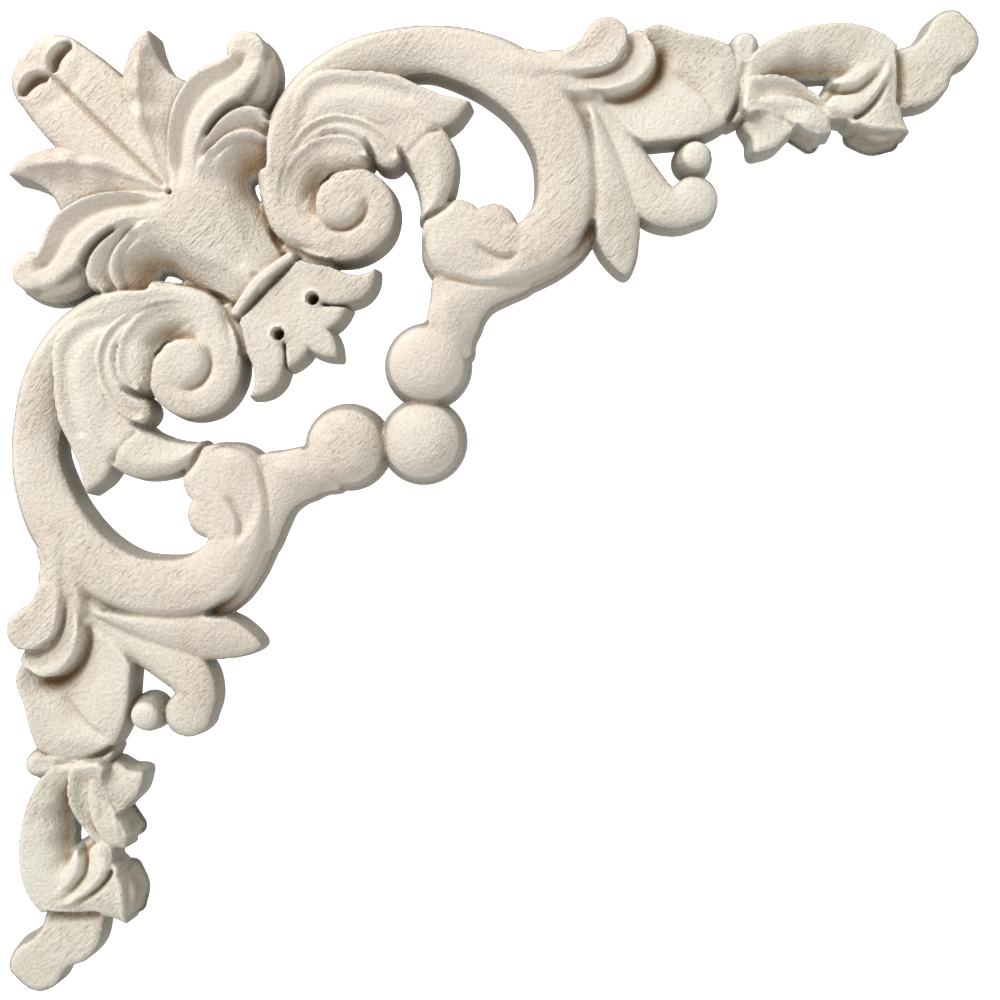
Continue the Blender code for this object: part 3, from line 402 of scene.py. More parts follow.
def palmette(r):
    """The corner's palmette: neck, broad middle lobe, pointed lobe, curled lobe and two crescents."""
    r.limb([(55.6, 40, 1, 3.6), (57.6, 45.5, 1.7, 3.8), (60, 50.2, 1.6, 4.6)], FLAT)
    r.patch([(42, 34), (46, 28), (50, 24), (57.3, 22.8), (57.6, 28), (57.3, 33.4), (55.2, 33.6),
             (52.9, 35), (53.2, 37.5), (54.8, 40), (57, 42.5), (58.6, 47), (60.4, 50.5), (58, 56),
             (48, 52), (40, 46)],
            [(45, 36, 9.6), (48.5, 33, 8), (51, 35, 5), (53, 37, 3.2), (53.5, 32, 3.4), (52, 30, 5.2),
             (55.5, 29.5, 4.8), (50, 30, 7), (52, 40, 6.6), (50, 38, 7.6), (55, 42, 5.4), (47, 41, 9.6),
             (51, 44, 9), (55, 46, 7.2), (54, 50, 8.6), (57.5, 49, 6.8), (50, 49, 9.4), (57, 53, 8.2),
             (44, 45, 10), (55, 25, 6.4)], seam=1)
    r.limb([(52, 52, 4, 8.6), (48, 48, 7, 9.4), (44, 44, 8, 10), (40, 40, 8, 10.2), (35, 35, 8, 9.6),
            (30, 30, 8.4, 9.4), (25, 25, 9.4, 9.3), (20, 20, 9.4, 9), (17, 17, 9, 8.5)], FLAT, over=True,
           seam=4)
    r.limb([(15.5, 13, 6.6, 8.4), (13, 15.5, 6.6, 8.4)], FLAT, over=True, seam=3)
    r.patch([(34.2, 6), (34.2, 6), (34.9, 8.8), (36, 11.6), (37.8, 14), (40.2, 15.4), (42, 16),
             (41, 18.6), (40, 22.5), (39.4, 27.5), (39.3, 32), (39.2, 36), (38.6, 38.4), (36.8, 36),
             (33.8, 30.5), (31.4, 24.5), (29.8, 19.5), (28.9, 15.5), (29.3, 13.4), (30.2, 10.8),
             (31.8, 8.2)],
            [(34.2, 7, 9.2), (30.4, 11.5, 9.2), (29.6, 15, 8.9), (31, 20, 9), (33.5, 27, 9.2),
             (33.2, 9.9, 9.8), (32.5, 13.9, 10), (32.1, 18, 9.9), (32.7, 23, 9.8), (34.7, 30, 9.6),
             (37, 35, 9.5), (34.8, 11.5, 8.8), (35, 15, 8.2), (35, 20, 7.9), (36, 26, 8), (37.6, 31, 8.7),
             (38, 15, 7.5), (41, 16.8, 7.2), (39.4, 21, 7), (38.4, 27, 7.4), (38.6, 33, 8.6)], seam=1)
    r.crease([(34, 8.4, 0.1), (33.6, 11, 0.3), (33.2, 14.5, 0.4), (33, 18.5, 0.4), (33.6, 23, 0.4),
              (35.5, 29.4, 0.3), (37.4, 34, 0.1)], 3, 0.4)
    r.limb([(41.2, 38, 2.2, 9.6), (41.1, 33, 3.2, 9.8), (41.8, 27.3, 4.2, 9.8), (43.7, 22.4, 5, 9.8),
            (46.8, 18.6, 5.2, 9.7), (50.2, 16.4, 4.5, 9.7), (52.8, 14, 3.8, 9.6), (53.5, 12.6, 3.6, 9.5)],
           ((-1, 1), (-0.85, 1), (-0.6, 0.94), (-0.22, 0.88), (0.02, 0.97), (0.35, 1.01), (0.8, 1),
            (1, 0.95)), over=True, seam=0.5, fade=7)
    r.limb([(53, 13.2, 3, 9.4), (53.4, 11.6, 3.7, 9.6), (53.6, 10.3, 4, 9.6)], FLAT, over=True, seam=3,
           fade=2.5)
    r.limb([(53.6, 8.8, 2.4, 8.2), (55.2, 9.8, 2.7, 9.2), (56.5, 12.6, 2.6, 9.2), (56.7, 15.6, 2.2, 8.6),
            (55.8, 18.4, 1.9, 7.8), (54.4, 20.4, 1.5, 7.2)],
           ((-1, 0.6), (-0.4, 0.82), (0.5, 0.98), (1, 1)), seam=0.6)
    r.limb([(43.8, 33.5, 1, 9.6), (44.6, 30.5, 1.1, 9.5), (46.3, 27.6, 1.5, 9.3), (48.7, 25, 1.9, 9.1),
            (51.6, 23.2, 2.2, 8.8), (54.6, 22.8, 2.1, 8.4), (56.6, 24.2, 1.4, 7.8)],
           ((-1, 0.95), (-0.5, 1), (0.2, 0.93), (1, 0.75)), over=True, seam=0.5, fade=5)
    r.limb([(46, 33.5, 0.8, 9.4), (46.9, 30.9, 1, 9), (48.7, 28.3, 1.3, 8.4), (51.6, 26.7, 1.4, 7.8),
            (54.3, 26.5, 1.3, 7.4), (56.4, 27.3, 1.2, 7)], ((-1, 0.96), (-0.5, 1), (0.2, 0.95), (1, 0.8)),
           over=True, seam=0.5, fade=5)
    r.crease([(44.8, 28, 0.6), (46, 26, 1.6), (48, 23.4, 2), (50.6, 21.3, 2.2), (53.4, 20.3, 2)], 0.35,
             0.35, ends=2)
    r.crease([(14, 14, 1), (26, 26, 1), (37.4, 37.4, 1)], 0.45, 0.45, ends=1)
    r.crease([(18.9, 7.8, 1), (16.2, 9.3, 3), (14.6, 11.4, 3.2), (14.6, 14.6, 1.2)], 1.6, 0.3, ends=1.2)
    r.drill(38.3, 38.3, 0.5, 8)


def crown(r):
    """The collar and the small crown that points at the middle bead."""
    r.limb([(60.8, 48.8, 1.2, 6), (65.5, 50.4, 2, 6.6), (69.3, 51.4, 1.2, 6.6)], FLAT)
    r.patch([(54, 54), (58, 54), (62.6, 51), (66.5, 52.2), (70, 53.3), (73, 54.5), (75.6, 54.8),
             (77.4, 54.3), (78.7, 53.6), (78.7, 53.6), (78.6, 55.4), (77.8, 57.5), (76, 59.3),
             (73.5, 60.2), (70.5, 60.5), (68.2, 60.2), (68.2, 60.9), (70.5, 61), (73, 61.3), (73, 61.3),
             (72.2, 62.8), (70.8, 64.4), (69.2, 65.5), (69.2, 65.5), (70.2, 66.8), (70.9, 68.8),
             (71.1, 71.1), (71.1, 71.1), (66, 72), (58, 66), (50, 58)],
            [(58, 58, 8.6), (63, 55, 8.9), (68, 55.5, 9.3), (68, 58.5, 9), (73, 57.4, 9.4),
             (76, 56.5, 9.1), (78.4, 54.2, 8.8), (64, 62, 9), (70.5, 62.4, 8.9), (66, 66, 9.2),
             (70.5, 70.5, 8.9)], seam=0.8)
    r.crease([(63.2, 51.2, 2.6), (60.2, 54.4, 2.6), (57.2, 57.2, 2.6)], 0.4, 0.8, ends=0.1)
    r.limb([(62, 51.2, 1.5, 9.2), (58.8, 53.6, 1.6, 9.8), (55.9, 55.9, 1.7, 9.9)], ROUND, seam=0.2)
    r.drill(66.4, 59.5, 1.2, 3)
    r.drill(63.5, 51.5, 0.5, 5)


def tail(r):
    """The arm's end: three leaves under a hollow arch, the fan and the tongue."""
    r.patch([(179, 12), (183, 10.8), (186, 9.9), (188.4, 7.6), (190, 4.9), (192, 3.5), (194.6, 3.2),
             (196.6, 5), (198.4, 7.3), (198.6, 10), (197.2, 12.5), (194.6, 14.1), (193.3, 16),
             (192.3, 18.6), (189.6, 20.9), (186, 21.8), (180, 21.8)],
            [(181, 12, 5.6), (184, 14, 6.2), (188, 12, 6.5), (192, 6, 6), (196, 9, 6), (192, 14, 6.4),
             (188, 19, 6.4), (183, 20, 6)], seam=1)
    r.limb([(175.4, 26.8, 1.4, 5), (179, 28, 1.6, 5), (182.6, 27.8, 1.1, 5)], SLOPE)
    r.limb([(163.4, 26.2, 1, 5), (166.4, 27.8, 1.3, 5)], SLOPE)
    r.patch([(151.6, 17), (152.6, 13), (155.4, 10.4), (160, 8), (166, 6.4), (172, 6), (178, 7.4),
             (182.3, 10.6), (183, 16), (183, 21), (183.5, 24.4), (184.7, 27.2), (184.7, 27.2),
             (181.6, 27.8), (178, 27.6), (175.6, 26.9), (173.6, 25.7), (172.2, 24.4), (170, 24.4),
             (166, 24.2), (160, 24.5), (152, 23.5)],
            [(153, 14, 7.4), (157.5, 11.5, 7.4), (164, 9, 7.8), (170, 8.6, 7.9), (177, 10, 8),
             (181, 13, 7.8), (161, 11, 7.5), (167, 10.8, 7.6), (172, 11.4, 7.6), (160, 13.3, 6.4),
             (166, 13, 6.4), (171, 13.2, 6.7), (157, 14.6, 6.4), (159, 15.8, 3.6), (163, 15.4, 3),
             (168, 15.4, 3.2), (172, 15, 5.4), (176, 13, 7.7), (182.8, 19, 6.9), (179.5, 19, 7.9),
             (179.5, 24, 7.9), (183.4, 25.6, 7), (175.6, 26, 7.2), (180, 27.4, 7.5), (174.5, 17.4, 7.4),
             (156, 20, 6.8), (166, 22, 6.2)], seam=1)
    r.limb([(180.8, 12.5, 1, 8), (179.6, 16.2, 1.3, 8.3), (176.6, 20.3, 2, 8.3), (173.4, 21.8, 2.6, 8.1),
            (170.8, 21.8, 2.5, 7.5)], ((-1, 0.93), (-0.5, 1), (0.3, 0.96), (1, 0.84)), over=True,
           seam=0.5, fade=5)
    r.limb([(179.6, 12.2, 1.2, 8), (178, 14, 1.7, 8.2), (175.4, 16.4, 2.3, 8.2), (172.4, 17.3, 2.1, 7.8),
            (170.2, 17.3, 1.5, 7)], ((-1, 0.9), (-0.4, 1), (0.4, 0.96), (1, 0.88)), over=True, seam=1,
           fade=6)
    r.crease([(171, 19.4, 0.5), (174.4, 19.1, 1.1), (176.4, 17.8, 1.4), (178.9, 15.2, 0.5)], 0.9, 0.35,
             ends=1.5)
    r.crease([(173.4, 24.8, 1.4), (176, 23.3, 1.5), (178.4, 20.8, 1.2), (180.5, 16.8, 0.5)], 0.5, 0.4,
             ends=1.5)
    r.crease([(182.2, 11, 0.5), (183.1, 14.5, 0.9), (183.3, 18, 0.9), (183, 22, 0.8)], 1.0, 0.6, ends=1)
    r.limb([(152.2, 21.6, 1.2, 7), (154, 19.2, 2.5, 7.4), (158, 18.3, 2.6, 7.4), (162.4, 18.9, 2.2, 7.1),
            (165.6, 20.9, 1.9, 6.8), (168, 22.6, 1.5, 6.6)],
           ((-1, 1), (-0.6, 0.98), (0, 0.88), (1, 0.94)))
    r.limb([(149.6, 24.5, 0.5, 7.2), (153.4, 22.1, 1.2, 7.6), (158, 21.6, 1.7, 7.7),
            (162.5, 22.9, 2.6, 7.6), (165.6, 24.6, 2.8, 7.4), (167, 25.4, 2.4, 7.2)],
           ((-1, 0.95), (-0.3, 1), (1, 0.93)))
    r.patch([(152.4, 25), (153.8, 23.5), (156.6, 23), (159.2, 24), (161.9, 26), (160.4, 28),
             (158.4, 29.9), (156, 30.7), (154.3, 30.8), (153.9, 28)],
            [(156, 25, 7.2), (160, 26.5, 6.8), (155, 30, 7.1), (153.4, 26.4, 6.4), (157.5, 28, 7.1)],
            seam=0.4)
    r.patch([(160, 22.4), (164, 22.1), (167.4, 22.5), (169.2, 23.8), (169.2, 23.8), (169.3, 27.2),
             (169.3, 27.2), (166.6, 26.9), (163.6, 26.5), (161, 25.6)],
            [(161, 24, 7.6), (165, 24.5, 7.7), (168.7, 24.5, 7.1), (168.9, 27, 7), (164, 26.2, 7.5),
             (162, 22.8, 7.4), (166.5, 23, 7.2)], seam=0.9)
    r.crease([(152.6, 13, 0.5), (152.2, 17, 1), (151.4, 20.5, 1.6), (150.2, 23, 2.2), (148.9, 25.2, 2.6)],
             0.6, 0.5, ends=1)
    r.pierce([(161.8, 16.2, 0.4), (165, 16.9, 1.5), (166.9, 17.5, 2.1), (168.2, 16.9, 1.6),
              (169.6, 16.1, 0.7)])


def beads(r):
    for u, v in ((88.8, 72.4), (87.7, 87.7)):
        r.dome(u, v, 8.2, 10.2, 4.4, power=2.3, seam=0.8)


def paint(r):
    stem(r)
    band(r)
    hook(r)
    pod(r)
    calyx(r)
    leaf(r)
    eye(r)
    palmette(r)
    crown(r)
    tail(r)
    beads(r)
    return r


def softened(field, kept, reach):
    """The grid of heights blurred a little, with only kept points counted."""
    share = kept.astype(float)
    total = field * share
    for _ in range(max(1, round((reach / CELL) ** 2 / 0.5))):
        for axis in (0, 1):
            total = 0.5 * total + 0.25 * (np.roll(total, 1, axis) + np.roll(total, -1, axis))
            share = 0.5 * share + 0.25 * (np.roll(share, 1, axis) + np.roll(share, -1, axis))
    return np.where(kept, total / np.maximum(share, 1e-6), field)


def drawn_half(line):
    """The relief at every grid point, drawn for one half and mirrored into the other."""
    u, v = np.meshgrid(line, line, indexing="ij")
    half = u >= v
    relief = paint(Relief(u[half], v[half]))
    height, inside = np.zeros(u.shape), np.full(u.shape, -9.0)
    height[half], inside[half] = relief.height, relief.inside
    return np.where(half, height, height.T), np.where(half, inside, inside.T)


def with_walls(height, depth):
    """The carved top lowered softly into the steep walls round its outline."""
    edge = np.clip(1 - (depth - FLARE) / ROUNDING, 0, 1)
    top = height - EDGE_DROP * edge ** 2
    wall = RIM + np.maximum(depth, 0) * DRAFT
    share = np.clip(0.5 + (wall - top) / 1.6, 0, 1)
    return wall * (1 - share) + top * share - 0.8 * share * (1 - share)


def between(field, u, v):
    """The grid field read at any drawing points, straight between its neighbours."""
    i, j = u / CELL, v / CELL
    low_i = np.clip(i.astype(int), 0, field.shape[0] - 2)
    low_j = np.clip(j.astype(int), 0, field.shape[1] - 2)
    i, j = i - low_i, j - low_j
    near = field[low_i, low_j] * (1 - i) + field[low_i + 1, low_j] * i
    far = field[low_i, low_j + 1] * (1 - i) + field[low_i + 1, low_j + 1] * i
    return near * (1 - j) + far * j


def carved_sheet():
    """The carved side as an open sheet of small squares, and the grid fields that the wood's colour reads for its
    painted shade and painted highlight.
    """
    line = np.arange(0, DRAWN_END, CELL)
    height, inside = drawn_half(line)
    depth = inside + FLARE
    height = softened(height, depth > -1.0, SANDING)
    hollow = softened(height, depth > 0, HOLLOW_REACH) - height
    cut = softened(height, depth > 0, CUT_REACH) - height
    height = np.minimum(height - np.clip(CRISPNESS * (hollow + cut), -MOST_CRISP, MOST_CRISP), TOP)
    # hollow and cut say how far a point lies below its neighbours. Besides making the carving crisper, they let
    # the wood's colour darken the hollows and cuts with painted shade and lighten the ridges with a painted
    # highlight. low marks the deeply sunk faces, which also get painted shade.
    indoors = eased((depth - FLARE) / 1.5)
    hollow, cut = hollow * indoors, cut * indoors
    low = np.clip((LOW_FROM - height) / LOW_REACH, 0, 1) * indoors
    # wall marks the steep walls and slanted feet, which the wood's colour darkens with painted shade.
    slope = np.hypot(*np.gradient(with_walls(height, depth), CELL))
    foot = np.clip((slope - FOOT_SLOPE) / FOOT_SLOPE, 0, 1) * (1 - eased((depth - FOOT_WIDTH) / 0.8))
    wall = np.maximum(1 - eased((depth - WALL_WIDTH) / 0.35), 0.8 * foot)
    slope_u, slope_v = np.gradient(depth, CELL)
    steep = np.maximum(slope_u ** 2 + slope_v ** 2, 0.25)
    kept = depth > 0
    full = kept[:-1, :-1] & kept[1:, :-1] & kept[:-1, 1:] & kept[1:, 1:]
    around = np.pad(full, 1)
    inner = around[:-1, :-1] & around[1:, :-1] & around[:-1, 1:] & around[1:, 1:]
    to_rim = np.where(kept & ~inner, -depth, 0)
    to_crest = np.where(inner & (np.abs(depth - FLARE) < CELL / 2), FLARE - depth, 0)
    move = np.clip(to_rim + to_crest, -1.4 * CELL, 1.4 * CELL) / steep
    u, v = np.meshgrid(line, line, indexing="ij")
    u, v = u + move * slope_u, v + move * slope_v
    surface = with_walls(between(height, u, v), between(depth, u, v))
    surface[kept & ~inner] = RIM
    count = len(line)
    i, j = np.nonzero(full)
    corner = i * count + j
    faces = np.stack([corner, corner + 1, corner + count + 1, corner + count], -1)
    used, faces = np.unique(faces, return_inverse=True)
    points = np.stack([(u - ORIGIN) * SCALE, -surface * SCALE, (ORIGIN - v) * SCALE], -1).reshape(-1, 3)[used]
    mesh = bpy.data.meshes.new("onlay_carving")
    mesh.from_pydata(points.tolist(), [], faces.reshape(-1, 4).tolist())
    return mesh, {"hollow": hollow, "cut": cut, "low": low, "wall": wall}


def one_stretch(sheet):
    """Leaves the largest stretch of the sheet, with no two parts of it meeting only at a corner."""
    pinched = True
    while pinched:
        pinched = [p for p in sheet.verts if sum(e.is_boundary for e in p.link_edges) > 2]
        bmesh.ops.delete(sheet, geom=pinched, context="VERTS")
    left, largest = set(sheet.verts), []
    while left:
        front = [left.pop()]
        stretch = list(front)
        while front:
            beside = {q for p in front for e in p.link_edges for q in e.verts} & left
            left -= beside
            front = list(beside)
            stretch += front
        largest = max(largest, stretch, key=len)
    crumbs = list(set(sheet.verts) - set(largest))
    bmesh.ops.delete(sheet, geom=crumbs, context="VERTS")


def close_back(mesh):
    """Gives the sheet its square rim and the flat fixing face on y = 0."""
    piece = bmesh.new()
    piece.from_mesh(mesh)
    one_stretch(piece)
    made = bmesh.ops.extrude_face_region(piece, geom=piece.faces[:], use_keep_orig=True)["geom"]
    for part in made:
        if isinstance(part, bmesh.types.BMVert):
            part.co.y = 0
    bmesh.ops.recalc_face_normals(piece, faces=piece.faces)
    piece.to_mesh(mesh)
    piece.free()


def keep_triangles(onlay, most):
    """Thins the mesh to the triangles that the carving needs."""
    faces = sum(len(face.vertices) - 2 for face in onlay.data.polygons)
    decimate = onlay.modifiers.new("thin out", "DECIMATE")
    decimate.ratio = min(1.0, most / faces)
    bpy.ops.object.modifier_apply(modifier=decimate.name)


def note(mesh, name, field):
    """Stores the grid field on the mesh's points, for the wood's colour with its painted shade and painted
    highlight.
    """
    points = np.empty(len(mesh.vertices) * 3)
    mesh.vertices.foreach_get("co", points)
    x, _, z = points.reshape(-1, 3).T
    values = between(field, x / SCALE + ORIGIN, ORIGIN - z / SCALE)
    mesh.attributes.new(name, "FLOAT", "POINT").data.foreach_set("value", values.astype(np.float32))


class Value:
    """A socket of a material's nodes. Sums written with it add Math nodes."""

    def __init__(self, finish, socket):
        self.finish, self.socket = finish, socket

    def math(self, operation, *values):
        settings = {"operation": operation}
        return self.finish.add("ShaderNodeMath", settings, dict(enumerate(values)))

    def __add__(self, other):
        return self.math("ADD", self, other)

    def __radd__(self, other):
        return self.math("ADD", other, self)

    def __sub__(self, other):
        return self.math("SUBTRACT", self, other)

    def __rsub__(self, other):
        return self.math("SUBTRACT", other, self)

    def __mul__(self, other):
        return self.math("MULTIPLY", self, other)

    def __rmul__(self, other):
        return self.math("MULTIPLY", other, self)

    def stretch(self, low, high):
        """From 0 at low to 1 at high, with soft ends."""
        settings = {"interpolation_type": "SMOOTHSTEP"}
        return self.finish.add("ShaderNodeMapRange", settings, {"Value": self, "From Min": low, "From Max": high})


class Finish:
    """The nodes of one material."""

    def __init__(self, name):
        self.material = bpy.data.materials.new(name)
        self.material.use_nodes = True
        self.nodes = self.material.node_tree.nodes
        self.links = self.material.node_tree.links
        self.surface = self.nodes["Principled BSDF"]

    def add(self, kind, settings, sockets, out=0):
        """A node of that kind, its settings first, then a value or a link for each of its sockets."""
        node = self.nodes.new(kind)
        for name, value in settings.items():
            setattr(node, name, value)
        for key, value in sockets.items():
            self.feed(node.inputs[key], value)
        return Value(self, node.outputs[out])

    def feed(self, socket, value):
        if isinstance(value, Value):
            self.links.new(value.socket, socket)
        else:
            socket.default_value = value

    def mix(self, share, first, second, blend="MIX"):
        """The two colours mixed."""
        settings = {"data_type": "RGBA", "blend_type": blend}
        return self.add("ShaderNodeMix", settings, {0: share, 6: first, 7: second}, out=2)

    def noise(self, vector, detail, rough=0.5):
        sockets = {"Vector": vector, "Scale": 1.0, "Detail": detail, "Roughness": rough}
        return self.add("ShaderNodeTexNoise", {}, sockets)

    def stretched(self, vector, sizes):
        """The place divided by the sizes in millimetres, for a pattern that is longer one way."""
        factors = tuple(1000 / size for size in sizes)
        return self.add("ShaderNodeVectorMath", {"operation": "MULTIPLY"}, {0: vector, 1: factors})

    def attribute(self, name):
        return self.add("ShaderNodeAttribute", {"attribute_name": name}, {}, out=2)


def pale_wood(look):
    """Bare rubberwood: short pores along the grain and soft colour clouds, with browner painted shade in the
    hollows, cuts and sunk faces and on the walls, and a painted highlight on the ridges.
    """
    finish = Finish("pale_bare_wood")
    place = finish.add("ShaderNodeTexCoord", {}, {}, out=3)
    turn = {"Rotation": (0, look.grain_angle, 0)}
    along = finish.add("ShaderNodeMapping", {}, {"Vector": place, **turn})
    clouds = finish.noise(finish.stretched(place, (60, 60, 60)), 2).stretch(0.35, 0.68)
    bands = finish.noise(finish.stretched(along, (90, 9, 9)), 3).stretch(0.3, 0.75)
    pores = finish.noise(finish.stretched(along, (2.4, 0.5, 0.5)), 1.5).stretch(0.58, 0.74)
    threads = finish.noise(finish.stretched(along, (6, 0.5, 0.5)), 2, 0.6).stretch(0.3, 0.75)
    speckle = finish.noise(finish.stretched(place, (0.7, 0.7, 0.7)), 2, 0.6)
    patches = finish.noise(finish.stretched(place, (22, 22, 22)), 1).stretch(0.4, 0.62)
    # hollow, cut, low and wall place the painted shade; ridge places the painted highlight.
    hollow = finish.attribute("hollow").stretch(0.25, 2.6)
    cut = finish.attribute("cut")
    ridge = (-1 * cut).stretch(0.03, 0.3)
    low = finish.attribute("low")
    wall = finish.attribute("wall")
    far = finish.add("ShaderNodeSeparateXYZ", {}, {"Vector": place})
    drop = finish.add("ShaderNodeSeparateXYZ", {}, {"Vector": place}, out=2)
    far = far.math("MAXIMUM", far, -1 * drop).stretch(0.07, 0.13)
    colour = finish.mix(0.7 * clouds, look.warm_wood, look.cream_wood)
    colour = finish.mix(0.75 * far, colour, look.end_wood)
    colour = finish.mix(0.5 * bands, colour, look.band_wood)
    colour = finish.mix(0.3 * patches * threads, colour, look.pore_wood, "MULTIPLY")
    colour = finish.mix(0.4 * patches * pores, colour, look.pore_wood, "MULTIPLY")
    colour = finish.mix(0.4 * speckle.stretch(0.35, 0.7), colour, look.speck_wood, "MULTIPLY")
    # painted shade in the hollows and the fine cuts
    colour = finish.mix(0.5 * hollow, colour, look.crease_painted_shade, "MULTIPLY")
    colour = finish.mix(0.6 * cut.stretch(0.05, 0.6), colour, look.crease_painted_shade, "MULTIPLY")
    # painted highlight on the ridges, partly also cleaner worn wood
    colour = finish.mix(0.35 * ridge, colour, look.ridge_highlight_and_wear)
    # painted shade on the deeply sunk faces
    colour = finish.mix(0.8 * low, colour, look.sunk_painted_shade, "MULTIPLY")
    # painted shade on the walls
    colour = finish.mix(0.74 * wall, colour, look.wall_painted_shade, "MULTIPLY")
    finish.feed(finish.surface.inputs["Base Color"], colour)
    rough = look.roughness - 0.1 * threads + 0.12 * wall
    finish.feed(finish.surface.inputs["Roughness"], rough)
    finish.surface.inputs["Specular IOR Level"].default_value = 0.35
    height = 1.1 * speckle - patches * (0.5 * pores + 0.25 * threads)
    sockets = {"Strength": look.grain_strength, "Distance": 0.0004, "Height": height}
    finish.feed(finish.surface.inputs["Normal"], finish.add("ShaderNodeBump", {}, sockets))
    return finish.material


def plain_paper(stage):
    """The pale paper that the onlay stands against."""
    finish = Finish("studio_paper")
    place = finish.add("ShaderNodeTexCoord", {}, {}, out=3)
    tooth = finish.noise(finish.stretched(place, (4, 4, 4)), 2)
    low = tuple(0.97 * part for part in stage.paper[:3]) + (1.0,)
    finish.feed(finish.surface.inputs["Base Color"], finish.mix(tooth, low, stage.paper[:]))
    finish.surface.inputs["Roughness"].default_value = 0.9
    finish.surface.inputs["Specular IOR Level"].default_value = 0.1
    finish.surface.inputs["Emission Color"].default_value = stage.paper
    finish.surface.inputs["Emission Strength"].default_value = stage.paper_glow
    return finish.material


def colour_property(name, description, value):
    return bpy.props.FloatVectorProperty(
        name=name, description=description, subtype="COLOR", size=4, min=0, max=1, default=(*value, 1.0)
    )


class OnlayLook(bpy.types.PropertyGroup):
    """What a user would change on the onlay."""

    span: bpy.props.FloatProperty(
        name="Arm length", description="Each arm from end to end", unit="LENGTH", default=SPAN
    )
    triangles: bpy.props.IntProperty(
        name="Triangles", description="Most triangles of the carving", default=TRIANGLES, min=1000
    )
    grain_angle: bpy.props.FloatProperty(
        name="Grain angle", description="How far the grain is turned in the face", subtype="ANGLE",
        default=math.radians(45),
    )
    grain_strength: bpy.props.FloatProperty(
        name="Grain strength", description="How strongly pores and specks show in relief", default=0.8
    )
    roughness: bpy.props.FloatProperty(
        name="Roughness", description="Roughness of the bare wood", subtype="FACTOR", default=0.72
    )
    warm_wood: colour_property("Warm wood", "The wood where it is pinkish", (0.67, 0.585, 0.495))
    cream_wood: colour_property("Cream wood", "The wood where it is paler", (0.68, 0.64, 0.545))
    end_wood: colour_property("End wood", "The greener wood at the arms' ends", (0.68, 0.66, 0.555))
    # painted highlight on the ridges, partly also cleaner worn wood
    ridge_highlight_and_wear: colour_property("Ridge wood", "The cleaner wood on the ridges", (0.77, 0.72, 0.63))
    band_wood: colour_property("Band wood", "The darker growth bands", (0.60, 0.50, 0.41))
    pore_wood: colour_property("Pore wood", "Tint of pores and threads", (0.66, 0.52, 0.38))
    speck_wood: colour_property("Speck wood", "Tint of the fine specks", (0.80, 0.74, 0.66))
    # painted shade: darkens the hollows and deep cuts
    crease_painted_shade: colour_property("Hollow wood", "Tint of the deep cuts", (0.62, 0.50, 0.37))
    # painted shade: darkens the deeply sunk faces
    sunk_painted_shade: colour_property("Low wood", "Tint of the deeply sunk faces", (0.72, 0.54, 0.35))
    # painted shade: darkens the side walls
    wall_painted_shade: colour_property("Wall wood", "Tint of the sawn side walls", (0.33, 0.33, 0.31))


class StageLook(bpy.types.PropertyGroup):
    """What a user would change on the stage."""

    paper: colour_property("Paper", "Colour of floor and backdrop", (0.97, 0.97, 0.97))
    paper_glow: bpy.props.FloatProperty(
        name="Paper glow", description="Light that the paper adds", default=0.8
    )
    drop: bpy.props.FloatProperty(
        name="Floor drop", description="How far the floor lies below the onlay", unit="LENGTH", default=0.45
    )
    key_power: bpy.props.FloatProperty(name="Key light", description="Watts of the key light", default=9.0)
    fill_power: bpy.props.FloatProperty(name="Fill light", description="Watts of the fill light", default=0.5)
    world: bpy.props.FloatProperty(name="World light", description="Strength of the world", default=0.76)


class ONLAY_OT_carve(bpy.types.Operator):
    """Carve the onlay and give it its pale wood"""

    bl_idname = "onlay.carve"
    bl_label = "Carve the onlay"

    def execute(self, context):
        look = context.scene.onlay_look
        mesh, fields = carved_sheet()
        close_back(mesh)
        onlay = bpy.data.objects.new("onlay_carving", mesh)
        context.scene.collection.objects.link(onlay)
        bpy.ops.object.select_all(action="DESELECT")
        context.view_layer.objects.active = onlay
        onlay.select_set(True)
        keep_triangles(onlay, look.triangles)
        for name, field in fields.items():
            note(onlay.data, name, field)
        onlay.data.transform(Matrix.Scale(look.span / SPAN, 4))
        bpy.ops.object.shade_smooth_by_angle(angle=SMOOTH_UNDER)
        onlay.data.materials.append(pale_wood(look))
        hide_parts(NODE)
        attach(onlay, "root")
        return {"FINISHED"}


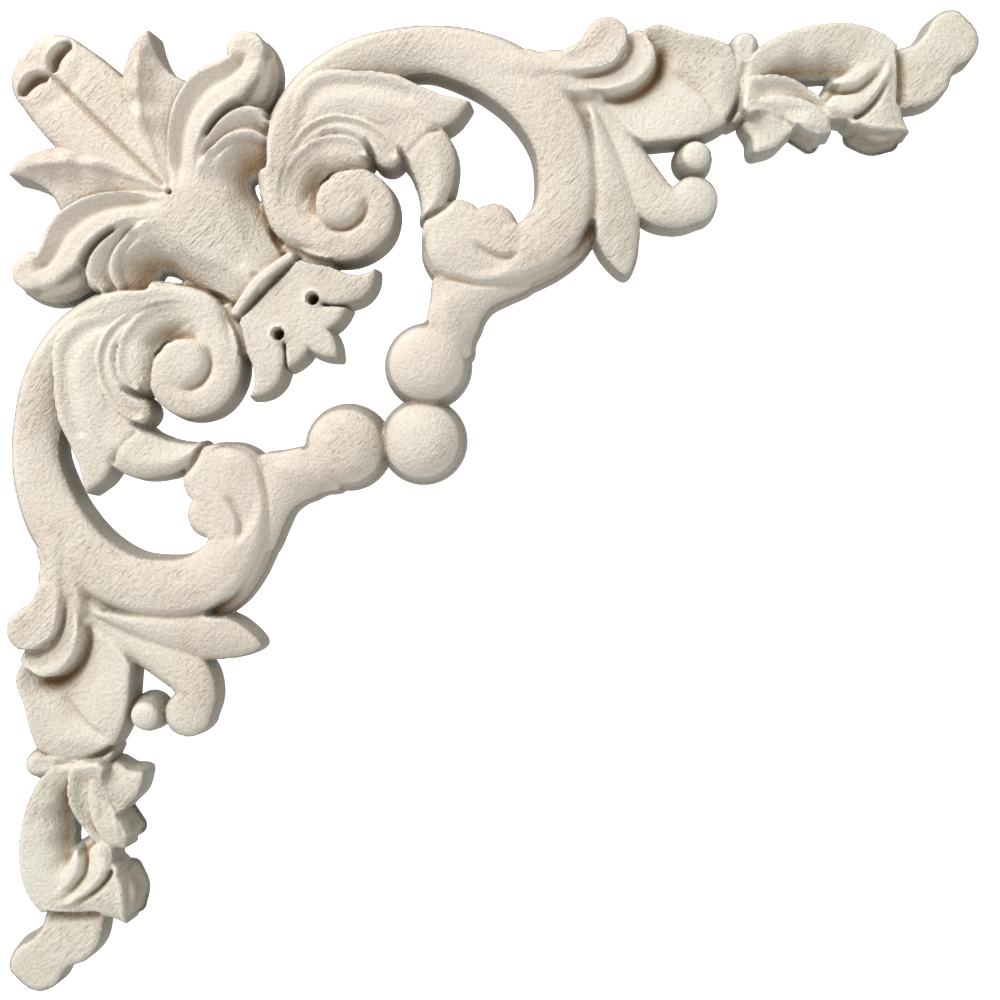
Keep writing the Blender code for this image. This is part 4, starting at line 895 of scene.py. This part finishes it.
class ONLAY_OT_stage(bpy.types.Operator):
    """Set up the plain studio: paper, lights and camera"""

    bl_idname = "onlay.stage"
    bl_label = "Set the stage"

    def execute(self, context):
        stage = context.scene.onlay_stage
        low, high = (Vector(corner) for corner in CAD_BOX)
        middle = (low + high) / 2
        self.paper(stage, low.z - stage.drop)
        self.light("key", stage.key_power, 0.5, middle, KEY_FROM)
        self.light("fill", stage.fill_power, 1.0, middle, FILL_FROM)
        self.surroundings(context.scene, stage.world)
        self.camera(context.scene)
        return {"FINISHED"}

    def paper(self, stage, level):
        """Floor and backdrop in one sheet, with a wide bend between them."""
        bpy.ops.object.select_all(action="DESELECT")
        bpy.ops.mesh.primitive_plane_add(size=PAPER_SIZE, location=(0, 0, level))
        sheet = bpy.context.object
        sheet.name = "studio_paper"
        bpy.ops.object.mode_set(mode="EDIT")
        body = bmesh.from_edit_mesh(sheet.data)
        for part in (*body.verts, *body.edges, *body.faces):
            part.select = False
        back = max(body.edges, key=lambda edge: sum(point.co.y for point in edge.verts))
        back.select_set(True)
        bmesh.update_edit_mesh(sheet.data)
        rise = {"value": (0, 0, PAPER_SIZE)}
        bpy.ops.mesh.extrude_region_move(TRANSFORM_OT_translate=rise)
        body = bmesh.from_edit_mesh(sheet.data)
        for edge in body.edges:
            edge.select_set(all(abs(p.co.z) < 1e-6 and p.co.y > 0 for p in edge.verts))
        bmesh.update_edit_mesh(sheet.data)
        bpy.ops.mesh.bevel(offset=PAPER_BEND, segments=24)
        bpy.ops.object.mode_set(mode="OBJECT")
        bpy.ops.object.transform_apply()
        bpy.ops.object.shade_smooth()
        sheet.data.materials.append(plain_paper(stage))
        sheet.visible_diffuse = False
        return sheet

    def light(self, name, power, size, middle, towards):
        """A square soft light that faces the onlay's middle."""
        away = Vector(towards)
        bpy.ops.object.light_add(type="AREA", location=middle + away)
        lamp = bpy.context.object
        lamp.name = name
        lamp.rotation_euler = away.to_track_quat("Z", "Y").to_euler()
        lamp.data.energy = power
        lamp.data.size = size

    def surroundings(self, scene, strength):
        world = bpy.data.worlds.new("studio")
        world.use_nodes = True
        world.node_tree.nodes["Background"].inputs["Color"].default_value = SKY
        world.node_tree.nodes["Background"].inputs["Strength"].default_value = strength
        scene.world = world
        scene.view_settings.view_transform = "Standard"

    def camera(self, scene):
        """Straight on, as near as the photograph's perspective says."""
        seen = Vector(((CAMERA_AIM[0] - ORIGIN) * SCALE, 0, (ORIGIN - CAMERA_AIM[1]) * SCALE))
        away = Vector((CAMERA_LEAN, -1, CAMERA_LEAN)) * CAMERA_DISTANCE * SCALE
        bpy.ops.object.camera_add(location=seen + away)
        camera = bpy.context.object
        turned = away.to_track_quat("Z", "Y") @ Quaternion((0, 0, 1), CAMERA_ROLL)
        camera.rotation_euler = turned.to_euler()
        camera.data.sensor_width = 36
        camera.data.lens = 36 * CAMERA_FOCUS
        scene.camera = camera


class ONLAY_PT_panel(bpy.types.Panel):
    """The onlay's sizes and colours, and what makes it"""

    bl_idname = "ONLAY_PT_panel"
    bl_label = "Carved corner onlay"
    bl_space_type = "VIEW_3D"
    bl_region_type = "UI"
    bl_category = "Onlay"

    def draw(self, context):
        for group, maker in (("onlay_look", "onlay.carve"), ("onlay_stage", "onlay.stage")):
            settings = getattr(context.scene, group)
            for name in settings.__annotations__:
                self.layout.prop(settings, name)
            self.layout.operator(maker)


CLASSES = (OnlayLook, StageLook, ONLAY_OT_carve, ONLAY_OT_stage, ONLAY_PT_panel)


def register():
    for kind in CLASSES:
        bpy.utils.register_class(kind)
    bpy.types.Scene.onlay_look = bpy.props.PointerProperty(type=OnlayLook)
    bpy.types.Scene.onlay_stage = bpy.props.PointerProperty(type=StageLook)


def unregister():
    del bpy.types.Scene.onlay_look
    del bpy.types.Scene.onlay_stage
    for kind in reversed(CLASSES):
        bpy.utils.unregister_class(kind)


def main():
    register()
    bpy.ops.onlay.carve()
    bpy.ops.onlay.stage()


if __name__ == "__main__":
    main()
